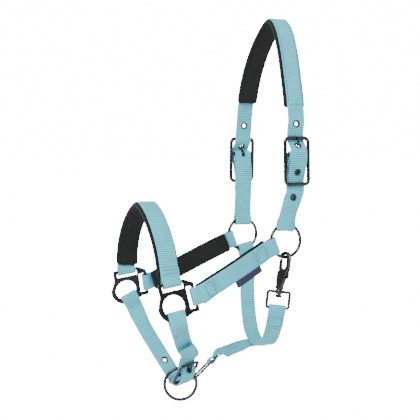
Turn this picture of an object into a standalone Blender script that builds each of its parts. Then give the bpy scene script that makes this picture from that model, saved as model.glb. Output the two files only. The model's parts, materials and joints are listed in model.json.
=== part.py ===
"""Head halter: nylon webbing straps with neoprene linings, cast side plates, round rings, three
tongue buckles and a swivel snap. Metres, +Z up, nose towards -Y, the horse's left (near) side at
+X. The origin is the middle of the lining's inner face where it rests on the poll."""

import bmesh
import bpy
import numpy as np

MM = 0.001

# Layout is measured, in millimetres, from the middle of the line between the cheek rings.
POLL = (0.0, 18.0, 280.75)
RING_X = 61.0
RING_MAJOR = 21.2
RING_WIRE = 2.1

GAP = 0.3
WEB = 2.0
WEB_WIDE = 23.5
WEB_SLIM = 22.0
LAYER = (WEB + GAP) / 2
PAD = 4.5
PAD_MARGIN = 3.0
CHEEK_PAD_MARGIN = 2.2
PAD_DEPTH = LAYER + WEB / 2 + GAP + PAD / 2
CROWN_PAD_ENDS = {1: 169.0, -1: 180.0}

BUCKLE = (77.0, 6.8, 101.5)
BUCKLE_SIZE = (38.0, 63.0)
BUCKLE_BAR = 4.2
BUCKLE_SIDE = 5.3
BUCKLE_CORNER = 8.0
CENTRE_BAR_UP = 8.5
CENTRE_BAR_R = 1.9
TONGUE_R = 1.1

PLATE = (81.5, -163.8, -71.4)
PLATE_ROLL = 10.0
PLATE_TILT = 14.0
PLATE_YAW = {1: 4.0, -1: -9.0}
PLATE_T = 4.0
PLATE_HOLE = 14.0
SLOT_LENGTH = 27.5
SLOT_BAR = 3.6
TOP_BAR = (4.0, 27.4)
REAR_BAR = (28.5, 6.0)

LEAD_CENTRE = (1.0, -120.4, -185.5)
LEAD_MAJOR = 20.6
LEAD_WIRE = 2.15

CHIN_BUCKLE = (21.8, -122.1, -166.7)
CHIN_BUCKLE_SIZE = (34.0, 34.0)
CHIN_BUCKLE_BAR = 3.6

EYELET_FLANGE = 4.7
EYELET_BORE = 2.5
EYELET_WALL = 0.5

AQUA = (0.27, 0.60, 0.66, 1)
BLACK = (0.012, 0.012, 0.014, 1)
GUNMETAL = (0.16, 0.16, 0.17, 1)
NAVY = (0.02, 0.03, 0.12, 1)


def unit(v):
    v = np.asarray(v, float)
    return v / np.linalg.norm(v)


def world(points):
    return (np.asarray(points, float) - np.array(POLL)) * MM


def mirrored(point, side):
    """The point for the near side (side 1) or the same one on the far side (side -1)."""
    return np.array([side * point[0], point[1], point[2]], float)


# ---------------------------------------------------------------- routes and ribbons


class Route:
    """A smooth line through points, with a width direction that follows along it."""

    def __init__(self, points, wides, start=None, end=None):
        p = np.asarray(points, float)
        chord = np.diff(p, axis=0)
        gap = np.linalg.norm(chord, axis=1)
        slope = chord / gap[:, None]
        lean = (slope[:-1] * gap[1:, None] + slope[1:] * gap[:-1, None]) / (gap[:-1] + gap[1:])[:, None]
        first = slope[0] if start is None else unit(start)
        final = slope[-1] if end is None else unit(end)
        lean = np.vstack([first, lean, final])
        line, wide = [], []
        for i in range(len(p) - 1):
            for t in np.linspace(0, 1, 24, endpoint=i == len(p) - 2):
                ease = t * t * (3 - 2 * t)
                leave, arrive = t * (1 - t) ** 2 * gap[i], t * t * (t - 1) * gap[i]
                line.append(p[i] * (1 - ease) + p[i + 1] * ease + lean[i] * leave + lean[i + 1] * arrive)
                wide.append(np.asarray(wides[i], float) * (1 - ease) + np.asarray(wides[i + 1], float) * ease)
        self.line = np.array(line)
        steps = np.linalg.norm(np.diff(self.line, axis=0), axis=1)
        self.at = np.concatenate([[0], np.cumsum(steps)])
        self.length = self.at[-1]
        self.tangent = np.gradient(self.line, self.at, axis=0)
        self.tangent /= np.linalg.norm(self.tangent, axis=1)[:, None]
        wide = np.array(wide)
        wide -= self.tangent * (wide * self.tangent).sum(1)[:, None]
        self.wide = wide / np.linalg.norm(wide, axis=1)[:, None]
        self.normal = np.cross(self.wide, self.tangent)
        self.length_at_middle = float(np.interp(0, -self.line[:, 0], self.at))

    def read(self, values, s):
        return np.array([np.interp(s, self.at, values[:, k]) for k in range(3)])

    def frame(self, s):
        t, w = unit(self.read(self.tangent, s)), self.read(self.wide, s)
        w = unit(w - t * (w @ t))
        return t, w, np.cross(w, t)

    def place(self, s, n):
        """The point at distance s along the route and n out from it. Past an end it runs on straight."""
        t, _, normal = self.frame(s)
        inside = min(max(s, 0), self.length)
        return self.read(self.line, inside) + t * (s - inside) + normal * n


def spread(start, stop, step):
    return np.linspace(start, stop, max(2, int(round(abs(stop - start) / step)) + 1))


def end_loop(radius, straight, reach, tail, steps, step):
    """(along, out) from the tail's cut end, round a bar at (0, 0) and back to the main layer. The
    loop keeps its full width for the straight distance and has closed up at reach."""

    def half_width(s):
        ease = min(1.0, (reach - s) / (reach - straight))
        return LAYER + (radius - LAYER) * ease * ease * (3 - 2 * ease)

    closing = list(np.linspace(reach, straight, steps + 1)) + ([0.0] if straight else [])
    out = [(s, LAYER) for s in spread(tail, reach, step)[:-1]]
    out += [(s, half_width(s)) for s in closing[:-1]]
    for turn in np.linspace(0, np.pi, 2 * steps + 1):
        out.append((-radius * np.sin(turn), radius * np.cos(turn)))
    out += [(s, -half_width(s)) for s in closing[-2::-1]]
    return out


def looped(route, first=None, last=None, step=7.0, steps=4):
    """(along, out) stations of a strap. Each end is (radius, straight, reach, tail) for a loop, with
    the tail on the outside, or a number for a cut end that far along."""
    length = route.length
    head = end_loop(*first, steps, step) if isinstance(first, tuple) else [(first or 0, 0.0)]
    if isinstance(last, tuple):
        tail = [(length - s, n) for s, n in reversed(end_loop(*last, steps, step))]
    else:
        tail = [(last if last is not None else length, 0.0)]
    main = -LAYER if isinstance(first, tuple) or isinstance(last, tuple) else 0.0
    if not isinstance(first, tuple):
        head = [(head[0][0], main)]
    if not isinstance(last, tuple):
        tail = [(tail[0][0], main)]
    middle = [(s, main) for s in spread(head[-1][0], tail[0][0], step)[1:-1]]
    return head + middle + tail


def ribbon(route, stations, width, thick, round_ends=0.0, out=0.0):
    """A band's vertices and faces: a flat section swept along the stations."""
    places = np.array([route.place(s, n + out) for s, n in stations])
    wides = np.array([route.frame(s)[1] for s, _ in stations])
    run = np.gradient(places, axis=0)
    run -= wides * (run * wides).sum(1)[:, None]
    run /= np.linalg.norm(run, axis=1)[:, None]
    normals = np.cross(wides, run)
    along = np.concatenate([[0], np.cumsum(np.linalg.norm(np.diff(places, axis=0), axis=1))])
    verts, faces = [], []
    for k in range(len(places)):
        half = width / 2
        edge = min(along[k], along[-1] - along[k])
        if round_ends and edge < round_ends:
            half -= round_ends - (round_ends**2 - (round_ends - edge) ** 2) ** 0.5 * 0.999
        for across, up in ((-1, -1), (1, -1), (1, 1), (-1, 1)):
            verts.append(places[k] + wides[k] * half * across + normals[k] * up * thick / 2)
    for k in range(len(places) - 1):
        for i in range(4):
            a, b = 4 * k + i, 4 * k + (i + 1) % 4
            faces.append((a, b, b + 4, a + 4))
    last = 4 * (len(places) - 1)
    faces += [(3, 2, 1, 0), (last, last + 1, last + 2, last + 3)]
    return verts, faces


# ---------------------------------------------------------------- objects


def material(name, colour, rough, metal):
    made = bpy.data.materials.new(name)
    made.use_nodes = True
    made.diffuse_color = colour
    shader = made.node_tree.nodes["Principled BSDF"]
    shader.inputs["Base Color"].default_value = colour
    shader.inputs["Roughness"].default_value = rough
    shader.inputs["Metallic"].default_value = metal
    return made


LOOKS = {
    "webbing": (AQUA, 0.75, 0.0),
    "neoprene": (BLACK, 0.9, 0.0),
    "metal": (GUNMETAL, 0.25, 1.0),
    "casting": ((0.03, 0.03, 0.033, 1), 0.38, 1.0),
    "label": (NAVY, 0.7, 0.0),
}


def warped(face, least=0.005):
    """Whether a four-cornered face is out of flat, as on a twisted strap."""
    if len(face.verts) != 4:
        return False
    first, second, third, fourth = (corner.co for corner in face.verts)
    across = (second - first).cross(third - first)
    return abs((fourth - first).dot(across)) > least * MM * across.length


def add(name, verts, faces, look, smooth=False, pivot=(0, 0, 0)):
    """An object from vertices in layout millimetres, with its origin at the pivot."""
    origin = world(pivot) if np.any(pivot) else np.zeros(3)
    mesh = bpy.data.meshes.new(name)
    mesh.from_pydata([tuple(v - origin) for v in world(verts)], [], faces)
    tidy = bmesh.new()
    tidy.from_mesh(mesh)
    bmesh.ops.triangulate(tidy, faces=[face for face in tidy.faces if warped(face)])
    bmesh.ops.recalc_face_normals(tidy, faces=tidy.faces[:])
    tidy.to_mesh(mesh)
    tidy.free()
    if smooth:
        mesh.shade_smooth()
        mesh.set_sharp_from_angle(angle=0.7)
    made = bpy.data.objects.new(name, mesh)
    made.location = origin
    made.data.materials.append(material(name, *LOOKS[look]))
    bpy.context.collection.objects.link(made)
    return made


def boolean(target, other, operation):
    """Joins or cuts other into target, and leaves other as a hidden wire guide."""
    step = target.modifiers.new(operation.lower(), "BOOLEAN")
    step.operation = operation
    step.solver = "EXACT"
    step.object = other
    other.hide_render = True
    other.display_type = "WIRE"


def tube(centre, frame, radius, major_points, sides=8, closed=True):
    """A round wire along points given in a local frame of three axes. An open one gets flat ends."""
    axes = np.array([unit(a) for a in frame])
    line = np.array([np.asarray(centre) + np.asarray(p) @ axes for p in major_points])
    count = len(line)
    if closed:
        run = np.roll(line, -1, 0) - np.roll(line, 1, 0)
    else:
        run = np.gradient(line, axis=0)
    run /= np.linalg.norm(run, axis=1)[:, None]
    up = axes[2]
    verts, faces = [], []
    for k in range(count):
        side = unit(np.cross(up, run[k]))
        top = np.cross(run[k], side)
        for a in np.arange(sides) * 2 * np.pi / sides + np.pi / sides:
            verts.append(line[k] + radius * (np.cos(a) * side + np.sin(a) * top))
    for k in range(count if closed else count - 1):
        for i in range(sides):
            a, b = k * sides + i, k * sides + (i + 1) % sides
            c, d = ((k + 1) % count) * sides + (i + 1) % sides, ((k + 1) % count) * sides + i
            faces.append((a, b, c, d))
    if not closed:
        faces += [tuple(range(sides))[::-1], tuple(range((count - 1) * sides, count * sides))]
    return verts, faces


def circle(radius, count, start=0.0, stop=2 * np.pi):
    angles = np.linspace(start, stop, count, endpoint=False)
    return [(radius * np.cos(a), radius * np.sin(a), 0) for a in angles]


def rounded_rectangle(width, height, radius, steps=4, centre=(0, 0)):
    """Outline points (x, y, 0), anticlockwise, with quarter-round corners."""
    out = []
    for cx, cy, start in ((1, 1, 0), (-1, 1, 90), (-1, -1, 180), (1, -1, 270)):
        for a in np.radians(np.linspace(start, start + 90, steps + 1)):
            x = centre[0] + cx * (width / 2 - radius) + radius * np.cos(a)
            y = centre[1] + cy * (height / 2 - radius) + radius * np.sin(a)
            out.append((x, y, 0))
    return out


def prism(name, outline, depth, centre, frame, look="metal", bevel=0.0, pivot=(0, 0, 0), out=0.0):
    """A flat outline given in the frame's first two axes, made depth thick along the third."""
    axes = np.array([unit(a) for a in frame])
    count = len(outline)
    verts = []
    for z in (-depth / 2 + out, depth / 2 + out):
        verts += [np.asarray(centre) + np.array([p[0], p[1], z]) @ axes for p in outline]
    faces = [tuple(range(count))[::-1], tuple(range(count, 2 * count))]
    for i in range(count):
        j = (i + 1) % count
        faces.append((i, j, count + j, count + i))
    made = add(name, verts, faces, look, pivot=pivot)
    if bevel:
        step = made.modifiers.new("edges", "BEVEL")
        step.width = bevel * MM
        step.segments = 1
        step.limit_method = "ANGLE"
        step.angle_limit = 0.9
    return made


def spin_profile(name, profile, centre, axis, look, sides=16, pivot=(0, 0, 0)):
    """A turned ring: a closed profile of (radius, height) round the axis."""
    z = unit(axis)
    x = unit(np.cross(z, (0.31, 0.17, 0.93)))
    y = np.cross(z, x)
    verts, faces, n = [], [], len(profile)
    for k in range(sides):
        a = 2 * np.pi * k / sides
        verts += [np.asarray(centre) + r * (np.cos(a) * x + np.sin(a) * y) + h * z for r, h in profile]
    for k in range(sides):
        for i in range(n):
            j = (i + 1) % n
            m = (k + 1) % sides
            faces.append((k * n + i, k * n + j, m * n + j, m * n + i))
    return add(name, verts, faces, look, smooth=True, pivot=pivot)


def peg(name, centre, axis, radius, length, sides=16):
    """A plain round cutter or pin."""
    z = unit(axis)
    x = unit(np.cross(z, (0.31, 0.17, 0.93)))
    y = np.cross(z, x)
    turn = [2 * np.pi * k / sides for k in range(sides)]
    verts = [
        np.asarray(centre) + radius * (np.cos(a) * x + np.sin(a) * y) + h * z
        for h in (-length / 2, length / 2)
        for a in turn
    ]
    faces = [tuple(range(sides))[::-1], tuple(range(sides, 2 * sides))]
    faces += [(i, (i + 1) % sides, sides + (i + 1) % sides, sides + i) for i in range(sides)]
    return add(name, verts, faces, "metal")


def drop(width):
    """How far a straight fold of this width sits inside the top of a cheek ring."""
    inside = RING_MAJOR - RING_WIRE
    return inside + GAP - (inside**2 - (width / 2) ** 2) ** 0.5


def buckle_point(centre, frame, along, out, across=0.0):
    """A point from a buckle's middle: along its strap, out from it and across it."""
    lengthwise, wide, normal = (unit(a) for a in frame)
    return np.asarray(centre) + lengthwise * along + normal * out + wide * across


# ---------------------------------------------------------------- layout of the two sides


def buckle_frame_axes(side):
    """Upward along the strap, across it and outward."""
    up = unit((-0.03 * side, 0, 1))
    out = unit((side, 0, 0.03))
    wide = np.cross(out, up)
    return up, wide, out


def ring_centre(side):
    return (side * RING_X, 0.0, 0.0)


def plate_axes(side):
    """Rearward and upward in the side plate's face, and outward from it."""
    roll, tilt, yaw = np.radians((PLATE_ROLL, PLATE_TILT, PLATE_YAW[side]))
    rear = np.array([side * np.sin(yaw), np.cos(yaw) * np.cos(roll), np.sin(roll)])
    up = np.array([-side * np.sin(tilt), -np.sin(roll) * np.cos(tilt), np.cos(roll) * np.cos(tilt)])
    rear = unit(rear)
    up = unit(up - rear * (up @ rear))
    return rear, up, side * np.cross(rear, up)


def plate_point(side, rear, up, out=0.0):
    axes = plate_axes(side)
    return mirrored(PLATE, side) + axes[0] * rear + axes[1] * up + axes[2] * out


CENTRE_BAR = (BUCKLE[0] - 0.03 * CENTRE_BAR_UP, BUCKLE[1], BUCKLE[2] + CENTRE_BAR_UP)
TOP_REACH = BUCKLE_SIZE[1] / 2 - CENTRE_BAR_UP - 2.1
LOW_REACH = -BUCKLE_SIZE[1] / 2 - CENTRE_BAR_UP + 3.0
UNDER_BAR = -3.45
TONGUE_HOLE = 10.6
OVER_BUCKLE = (
    (TOP_REACH + 7, UNDER_BAR),
    (TOP_REACH, UNDER_BAR),
    (17.5, -2.9),
    (14.0, -0.9),
    (TONGUE_HOLE, 2.1),
    (7.0, 4.6),
    (3.0, 5.7),
    (-3.0, 5.7),
    (-12.0, 4.2),
    (-22.0, 0.6),
    (-31.0, -2.8),
    (LOW_REACH, UNDER_BAR - 0.1),
    (LOW_REACH - 8, -2.9),
)
CROWN_ARCH = (
    (72.6, 8.0, 150.0),
    (70.9, 8.3, 165.0),
    (66.6, 8.6, 186.0),
    (59.8, 9.4, 208.0),
    (50.5, 11.2, 231.0),
    (39.0, 13.6, 252.0),
    (26.5, 16.2, 269.0),
    (14.0, 17.7, 281.0),
    (4.5, 18.0, 286.4),
)
TAIL_ENDS = {
    1: ((75.9, 0.4, 53.0), (74.5, -4.0, 33.0), (72.6, -8.0, 14.0)),
    -1: ((76.4, 8.2, 53.0), (76.4, 9.0, 43.0)),
}


def crown_route():
    points = []
    for side in (1, -1):
        axes = buckle_frame_axes(side)
        half = [mirrored(p, side) for p in reversed(TAIL_ENDS[side])]
        over = [buckle_point(mirrored(CENTRE_BAR, side), axes, a, n) for a, n in reversed(OVER_BUCKLE)]
        half += over + [mirrored(p, side) for p in CROWN_ARCH]
        points += half if side == 1 else half[::-1]
    return Route(points, [np.array([0, 1, 0.0])] * len(points))


def nearest(route, point):
    gap = np.linalg.norm(route.line - np.asarray(point), axis=1)
    return route.at[int(np.argmin(gap))]


def buckle_strap_route(side):
    """Down from the crown buckle's centre bar to the cheek ring."""
    axes = buckle_frame_axes(side)
    bar = mirrored(CENTRE_BAR, side)
    down = [(0, 0), (-9, -3.1), (-20, -6.2), (LOW_REACH, -7.0), (LOW_REACH - 10, -6.6)]
    points = [buckle_point(bar, axes, a, n) for a, n in down]
    end = mirrored((RING_X, 0, RING_MAJOR - drop(WEB_WIDE)), side)
    points += [end + mirrored((3.2, 1.6, 17.0), side), end]
    wides = [np.array([0, -side, 0.0])] * len(points)
    return Route(points, wides, start=buckle_point((0, 0, 0), axes, -9, -3.4), end=(0, 0, -1))


CHEEK_ANGLE = 21.0
THROAT_ANGLE = 14.0


def cheek_route(side):
    """Rearward from the side plate's rear bar to the front of the cheek ring."""
    rear, up, _ = plate_axes(side)
    start = plate_point(side, *REAR_BAR)
    angle = np.radians(CHEEK_ANGLE)
    back = np.array([0, np.cos(angle), np.sin(angle)])
    reach = RING_MAJOR - drop(WEB_SLIM)
    end = np.asarray(ring_centre(side)) - back * reach
    middle = (start + end) / 2 + np.array([side * 3.0, 0, -1.0])
    wide = np.array([0, np.sin(angle), -np.cos(angle)]) * side
    upper = start * 0.72 + end * 0.28 + (side * 2.4, 0, -1.6)
    lower = start * 0.2 + end * 0.8 + (side * 2.0, 0, 0)
    return Route(
        [start, upper, middle, lower, end],
        [-up * side, wide, wide, wide, wide],
        start=rear,
        end=back,
    )


NOSE_ARCH = (
    (75.2, -166.4, -31.0),
    (72.2, -167.0, -18.0),
    (66.8, -167.4, -4.0),
    (57.6, -167.8, 11.0),
    (45.2, -168.0, 25.5),
    (30.5, -168.0, 38.5),
    (15.5, -168.0, 47.5),
    (4.5, -168.0, 51.2),
)


def nose_route():
    """From the near plate's top bar over the nose to the far plate's."""
    near = [plate_point(1, *TOP_BAR)] + [np.array(p) for p in NOSE_ARCH]
    far = [mirrored(p, -1) for p in reversed(NOSE_ARCH)] + [plate_point(-1, *TOP_BAR)]
    wides = [plate_axes(1)[0]] + [np.array([0, 1, 0.0])] * (2 * len(NOSE_ARCH)) + [plate_axes(-1)[0]]
    return Route(near + far, wides, start=plate_axes(1)[1], end=-plate_axes(-1)[1])


CHIN_LONG = unit((0.60, 0.11, 0.79))
CHIN_WIDE = unit((-0.32, 0.94, 0.12))
CHIN_WIDE = unit(CHIN_WIDE - CHIN_LONG * (CHIN_WIDE @ CHIN_LONG))
CHIN_OUT = np.cross(CHIN_WIDE, CHIN_LONG)
CHIN_AXES = (CHIN_LONG, CHIN_WIDE, CHIN_OUT)
RIM_FOLD = 10.2
CHIN_LEAN = {1: 0.0, -1: 19.0}
CHIN_TOP = CHIN_BUCKLE_SIZE[1] / 2 - CHIN_BUCKLE_BAR / 2
CHIN_HOLE = 7.0
FAR_CHIN_OVER = (
    (-22.5, -2.5),
    (-20.2, 2.2),
    (-17.0, 4.8),
    (-12.0, 6.0),
    (-7.0, 6.7),
    (-2.0, 7.05),
    (1.5, 7.0),
    (4.7, 6.0),
    (7.8, 3.0),
    (11.0, 0.0),
    (12.9, -1.6),
    (14.9, -2.8),
    (17.1, -3.2),
    (20.0, -3.1),
)
FLAP = ((28.0, 6.2), (37.0, 7.0), (57.0, 8.0))


def rim_fold(side):
    """The first points of a chin strap in its plate's face, its direction there and across it."""
    rear, up, _ = plate_axes(side)
    lean = np.radians(CHIN_LEAN[side])
    down = rear * np.sin(lean) - up * np.cos(lean)
    across = rear * np.cos(lean) + up * np.sin(lean)
    points = [mirrored(PLATE, side) + down * (RIM_FOLD + reach) for reach in (0, 6.5, 12.5)]
    return points, down, -across * side


def near_chin_route():
    """From the near plate's hole down to the chin buckle's centre bar."""
    points, down, across = rim_fold(1)
    points += [
        (64.0, -146.5, -111.0),
        (45.0, -133.5, -129.0),
    ]
    low = [(24.0, -8.5), (CHIN_TOP, -8.1), (8.0, -5.2), (0, 0)]
    points += [buckle_point(CHIN_BUCKLE, CHIN_AXES, a, n) for a, n in low]
    turned = -unit((0.10, 0.93, 0.34))
    wides = [across] * 3 + [turned] * 2 + [-CHIN_WIDE] * 4
    return Route(points, wides, start=down, end=buckle_point((0, 0, 0), CHIN_AXES, -8, 5.0))


def far_chin_route():
    """From the far plate's hole, under the chin, over the chin buckle to the free end turned up."""
    points, down, across = rim_fold(-1)
    points += [
        (-66.0, -145.0, -119.0),
        (-47.0, -136.0, -143.0),
        (-28.0, -127.5, -165.0),
        (-8.0, -122.5, -182.5),
    ]
    points += [buckle_point(CHIN_BUCKLE, CHIN_AXES, a, n) for a, n in FAR_CHIN_OVER]
    near = near_chin_route()
    points += [near.place(near.length - back, out) for back, out in FLAP]
    turned = unit((-0.16, 0.94, 0.24))
    wides = [across] * 3 + [turned] * 3 + [CHIN_WIDE] * (len(FAR_CHIN_OVER) + 1)
    wides += [unit((0.02, 0.95, 0.28))] * len(FLAP)
    return Route(points, wides, start=down)


# ---------------------------------------------------------------- snap layout

SNAP_ACROSS = unit((0.93, 0.37, 0))
SNAP_UP = unit((0.0, 0.12, 0.993))
SNAP_ACROSS = unit(SNAP_ACROSS - SNAP_UP * (SNAP_ACROSS @ SNAP_UP))
SNAP_AXES = (SNAP_ACROSS, SNAP_UP, np.cross(SNAP_ACROSS, SNAP_UP))
HOOK_CENTRE = (4.5, 40.6)
HOOK_INNER = 4.0
HOOK_THICK = 4.0
WIRE_UP = HOOK_CENTRE[1] + HOOK_INNER - 4 * GAP - RING_WIRE
SNAP = np.array([RING_X, 0, -RING_MAJOR]) - SNAP_UP * WIRE_UP - SNAP_ACROSS * HOOK_CENTRE[0]
EYE_ACROSS = unit((0.35, 0.937, 0))
EYE_ACROSS = unit(EYE_ACROSS - SNAP_UP * (EYE_ACROSS @ SNAP_UP))
EYE_AXES = (EYE_ACROSS, SNAP_UP, np.cross(EYE_ACROSS, SNAP_UP))
EYE_SIZE = (28.6, 20.8)
EYE_CORNER = 2.6
EYE_WIRE = 1.9
EYE_TOP = -3.6
GATE_PIVOT = (2.5, 20.0)


def snap_point(across, up, out=0.0):
    return SNAP + SNAP_AXES[0] * across + SNAP_AXES[1] * up + SNAP_AXES[2] * out


def throat_route():
    """From the bottom of the far ring, under the throat, up to the snap's eye."""
    angle = np.radians(THROAT_ANGLE)
    away = np.array([0, np.sin(angle), -np.cos(angle)])
    start = np.asarray(ring_centre(-1)) + away * (RING_MAJOR - drop(WEB_SLIM))
    end = SNAP + SNAP_UP * (EYE_TOP - EYE_SIZE[1])
    points = [
        start,
        (-61.0, 6.8, -50.0),
        (-58.0, 5.8, -85.0),
        (-47.5, 2.8, -112.0),
        (-32.0, -0.5, -132.0),
        (-14.0, -2.0, -142.5),
        (4.0, -2.0, -144.5),
        (22.0, -3.0, -136.0),
        (38.0, -5.5, -119.0),
        (49.0, -8.0, -102.0),
        end,
    ]
    across = np.array([0, 1, 0.0])
    wides = [(0, np.cos(angle), np.sin(angle))] + [across] * 5
    wides += [unit((0.2, 0.98, 0)), unit((0.35, 0.93, 0))] + [EYE_ACROSS] * 3
    return Route(points, wides, start=away, end=SNAP_UP)


# ---------------------------------------------------------------- chin link layout

LEAD_NORMAL = unit((0.94, -0.28, 0.0))
LEAD_ACROSS = unit((0.28, 0.94, 0))
LEAD_AXES = (LEAD_ACROSS, np.cross(LEAD_NORMAL, LEAD_ACROSS), LEAD_NORMAL)
LINK_LONG = unit((0, 0.77, 0.64))
LINK_WIDE = unit((0.945, -0.21, 0.25))
LINK_WIDE = unit(LINK_WIDE - LINK_LONG * (LINK_WIDE @ LINK_LONG))
LINK_AXES = (LINK_LONG, LINK_WIDE, np.cross(LINK_LONG, LINK_WIDE))
LINK_SIZE = (33.0, 29.0)
LINK_CORNER = 4.0
LINK_WIRE = 1.5
LINK_ANGLE = 24.0
LINK_TOUCH = (
    np.array(LEAD_CENTRE)
    + LEAD_MAJOR * np.cos(np.radians(LINK_ANGLE)) * LEAD_AXES[0]
    + LEAD_MAJOR * np.sin(np.radians(LINK_ANGLE)) * LEAD_AXES[1]
)
LINK_FRONT = LINK_TOUCH - LINK_LONG * (LEAD_WIRE + LINK_WIRE + GAP)
LINK_CENTRE = LINK_FRONT + LINK_LONG * LINK_SIZE[0] / 2


def connecting_route():
    """From the chin link's rear bar back to its seat under the throat strap."""
    start = LINK_FRONT + LINK_LONG * LINK_SIZE[0]
    seat = throat_route()
    s = nearest(seat, (-15.0, -2.0, -142.0))
    lies, across, _ = seat.frame(s)
    touch = [seat.place(s, WEB + 2 * GAP) + across * a for a in (-WEB_SLIM / 2 - 2.0, WEB_SLIM / 2 - 1.0)]
    points = [start, start + LINK_LONG * 9.0, (-5.0, -54.0, -151.0), (-9.0, -36.0, -147.5)] + touch
    wides = [-LINK_WIDE, -LINK_WIDE, unit((-0.84, 0, 0.54)), unit((-0.86, 0, 0.5)), -lies, -lies]
    return Route(points, wides, start=LINK_LONG)


# ---------------------------------------------------------------- building the pieces


def eyelet(name, centre, axis):
    half = WEB / 2 + GAP + 0.1
    lip = half + EYELET_WALL
    rim, neck = EYELET_FLANGE, EYELET_BORE + EYELET_WALL
    profile = [
        (EYELET_BORE, -lip),
        (rim, -lip),
        (rim, -half),
        (neck, -half),
        (neck, half),
        (rim, half),
        (rim, lip),
        (EYELET_BORE, lip),
    ]
    return spin_profile(name, profile, centre, axis, "metal", sides=14)


def punch(strap, label, centre, axis):
    """A round hole for an eyelet."""
    cutter = peg(label + "_hole", centre, axis, EYELET_BORE + EYELET_WALL + GAP, 12.0, sides=14)
    boolean(strap, cutter, "DIFFERENCE")


def tongue_slot(strap, label, centre, axes, reach):
    """The slot in a strap's loop that lets a buckle tongue turn on its bar."""
    box = rounded_rectangle(2 * reach, 2 * reach, 0.5, steps=1)
    cutter = prism(label + "_slot", box, 5.0, centre, (axes[0], axes[2], axes[1]))
    boolean(strap, cutter, "DIFFERENCE")


def buckle_frame(name, centre, axes, size, bars, corner, thick, bar_up, bar_r):
    """A frame in one casting: outer outline, window and round centre bar."""
    low, high, sides = bars
    frame = (axes[1], axes[0], axes[2])
    made = prism(name, rounded_rectangle(*size, corner), thick, centre, frame, bevel=0.7)
    window = (size[0] - 2 * sides, size[1] - low - high)
    hole = rounded_rectangle(*window, corner - sides + 0.6, centre=(0, (low - high) / 2))
    boolean(made, prism(name + "_window", hole, thick + 4, centre, frame), "DIFFERENCE")
    bar = buckle_point(centre, axes, bar_up, 0)
    boolean(made, peg(name + "_bar", bar, axes[1], bar_r, size[0] - sides, sides=12), "UNION")
    return made


def tongue(name, bar, axes, bar_r, shank, width=3.0):
    """A flat ring round the bar with a bent round shank, whose tip lies on the frame."""
    inner, outer = bar_r + GAP, bar_r + GAP + 1.3
    profile = [(inner, -width / 2), (outer, -width / 2), (outer, width / 2), (inner, width / 2)]
    made = spin_profile(name, profile, bar, axes[1], "metal", sides=14, pivot=bar)
    line = [(a, n, 0) for a, n in shank]
    verts, faces = tube(bar, (axes[0], axes[2], axes[1]), TONGUE_R, line, sides=8, closed=False)
    boolean(made, add(name + "_shank", verts, faces, "metal"), "UNION")
    return made


CROWN_SHANK = (
    (2.7, 0.9),
    (5.0, 0.3),
    (7.5, 0.2),
    (9.2, 0.9),
    (11.6, 3.0),
    (13.6, 4.1),
    (17.0, 4.0),
    (TOP_REACH + 1.6, 3.6),
)
CHIN_SHANK = (
    (2.7, 0.6),
    (4.2, 0.3),
    (5.6, 0.8),
    (6.9, 2.1),
    (8.2, 3.6),
    (9.8, 4.6),
    (12.0, 4.3),
    (CHIN_TOP + 1.4, 3.4),
)


def crown():
    route = crown_route()
    stations = [(s, 0.0) for s in crown_stations(route)]
    strap = add("crown_strap", *ribbon(route, stations, WEB_WIDE, WEB), "webbing")
    for side, label in ((1, "near"), (-1, "far")):
        axes = buckle_frame_axes(side)
        bar = mirrored(CENTRE_BAR, side)
        tongue_hole = nearest(route, buckle_point(bar, axes, TONGUE_HOLE, 2.1))
        marks = [(74.4, 6.0, 148.5), (78, 6, 88.0), (72, 1, 56.5)]
        holes = [nearest(route, mirrored(mark, side)) for mark in marks]
        holes.insert(1, tongue_hole)
        for number, s in enumerate(holes, 1):
            centre, normal = route.place(s, 0), route.frame(s)[2]
            name = f"{label}_crown_eyelet_{number}"
            eyelet(name, centre, normal)
            punch(strap, name, centre, normal)
    middle = route.length_at_middle
    start, stop = (nearest(route, (side * 69.5, 8.4, CROWN_PAD_ENDS[side])) for side in (1, -1))
    stations = [(s, 0.0) for s in pad_stations(start, middle, stop)]
    depth = WEB / 2 + GAP + PAD / 2
    pad = ribbon(route, stations, WEB_WIDE + 2 * PAD_MARGIN, PAD, round_ends=4.0, out=-depth)
    add("crown_pad", *pad, "neoprene")


def pad_stations(start, middle, stop, step=7.0, flat=4.5):
    """Stations from end to end, with one flat stretch in the middle and close ones at the ends."""
    ends = (0.0, 0.5, 1.5, 4.0)
    first = [start + e for e in ends] + list(spread(start + 8.0, middle - flat, step))
    last = [stop - e for e in ends] + list(spread(stop - 8.0, middle + flat, step))
    return first + last[::-1]


def bulge(loop, s):
    """How much further in than usual a strap's main layer lies, s along from an end loop's bar."""
    radius, straight, reach, _ = loop
    ease = min(1.0, max(0.0, (reach - s) / (reach - straight)))
    return (radius - LAYER) * ease * ease * (3 - 2 * ease)


def crown_stations(route, step=9.0, fine=3.0, flat=4.5):
    """Close together where the strap passes through the buckles, wider elsewhere."""
    middle = route.length_at_middle
    out = []
    for side in (1, -1):
        axes = buckle_frame_axes(side)
        bar = mirrored(CENTRE_BAR, side)
        high = nearest(route, buckle_point(bar, axes, TOP_REACH + 4, UNDER_BAR))
        low = nearest(route, buckle_point(bar, axes, LOW_REACH - 4, -3.2))
        cut = 0 if side == 1 else route.length
        half = list(spread(cut, low, step)) + list(spread(low, high, fine))[1:]
        half += list(spread(high, middle - side * flat, step))[1:]
        out += half if side == 1 else half[::-1]
    return out


def strap(name, route, stations, width, look="webbing", **more):
    return add(name, *ribbon(route, stations, width, WEB, **more), look)


SLOT_LOOP = 4.05
WIRE_LOOP = RING_WIRE + 2 * GAP + WEB / 2
BAR_LOOP = CENTRE_BAR_R + GAP + 0.15 + WEB / 2
RIM_LOOP = 3.6
NOSE_PAD_END = 7.5
CHEEK_PAD_ENDS = (8.0, 9.0)


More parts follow.
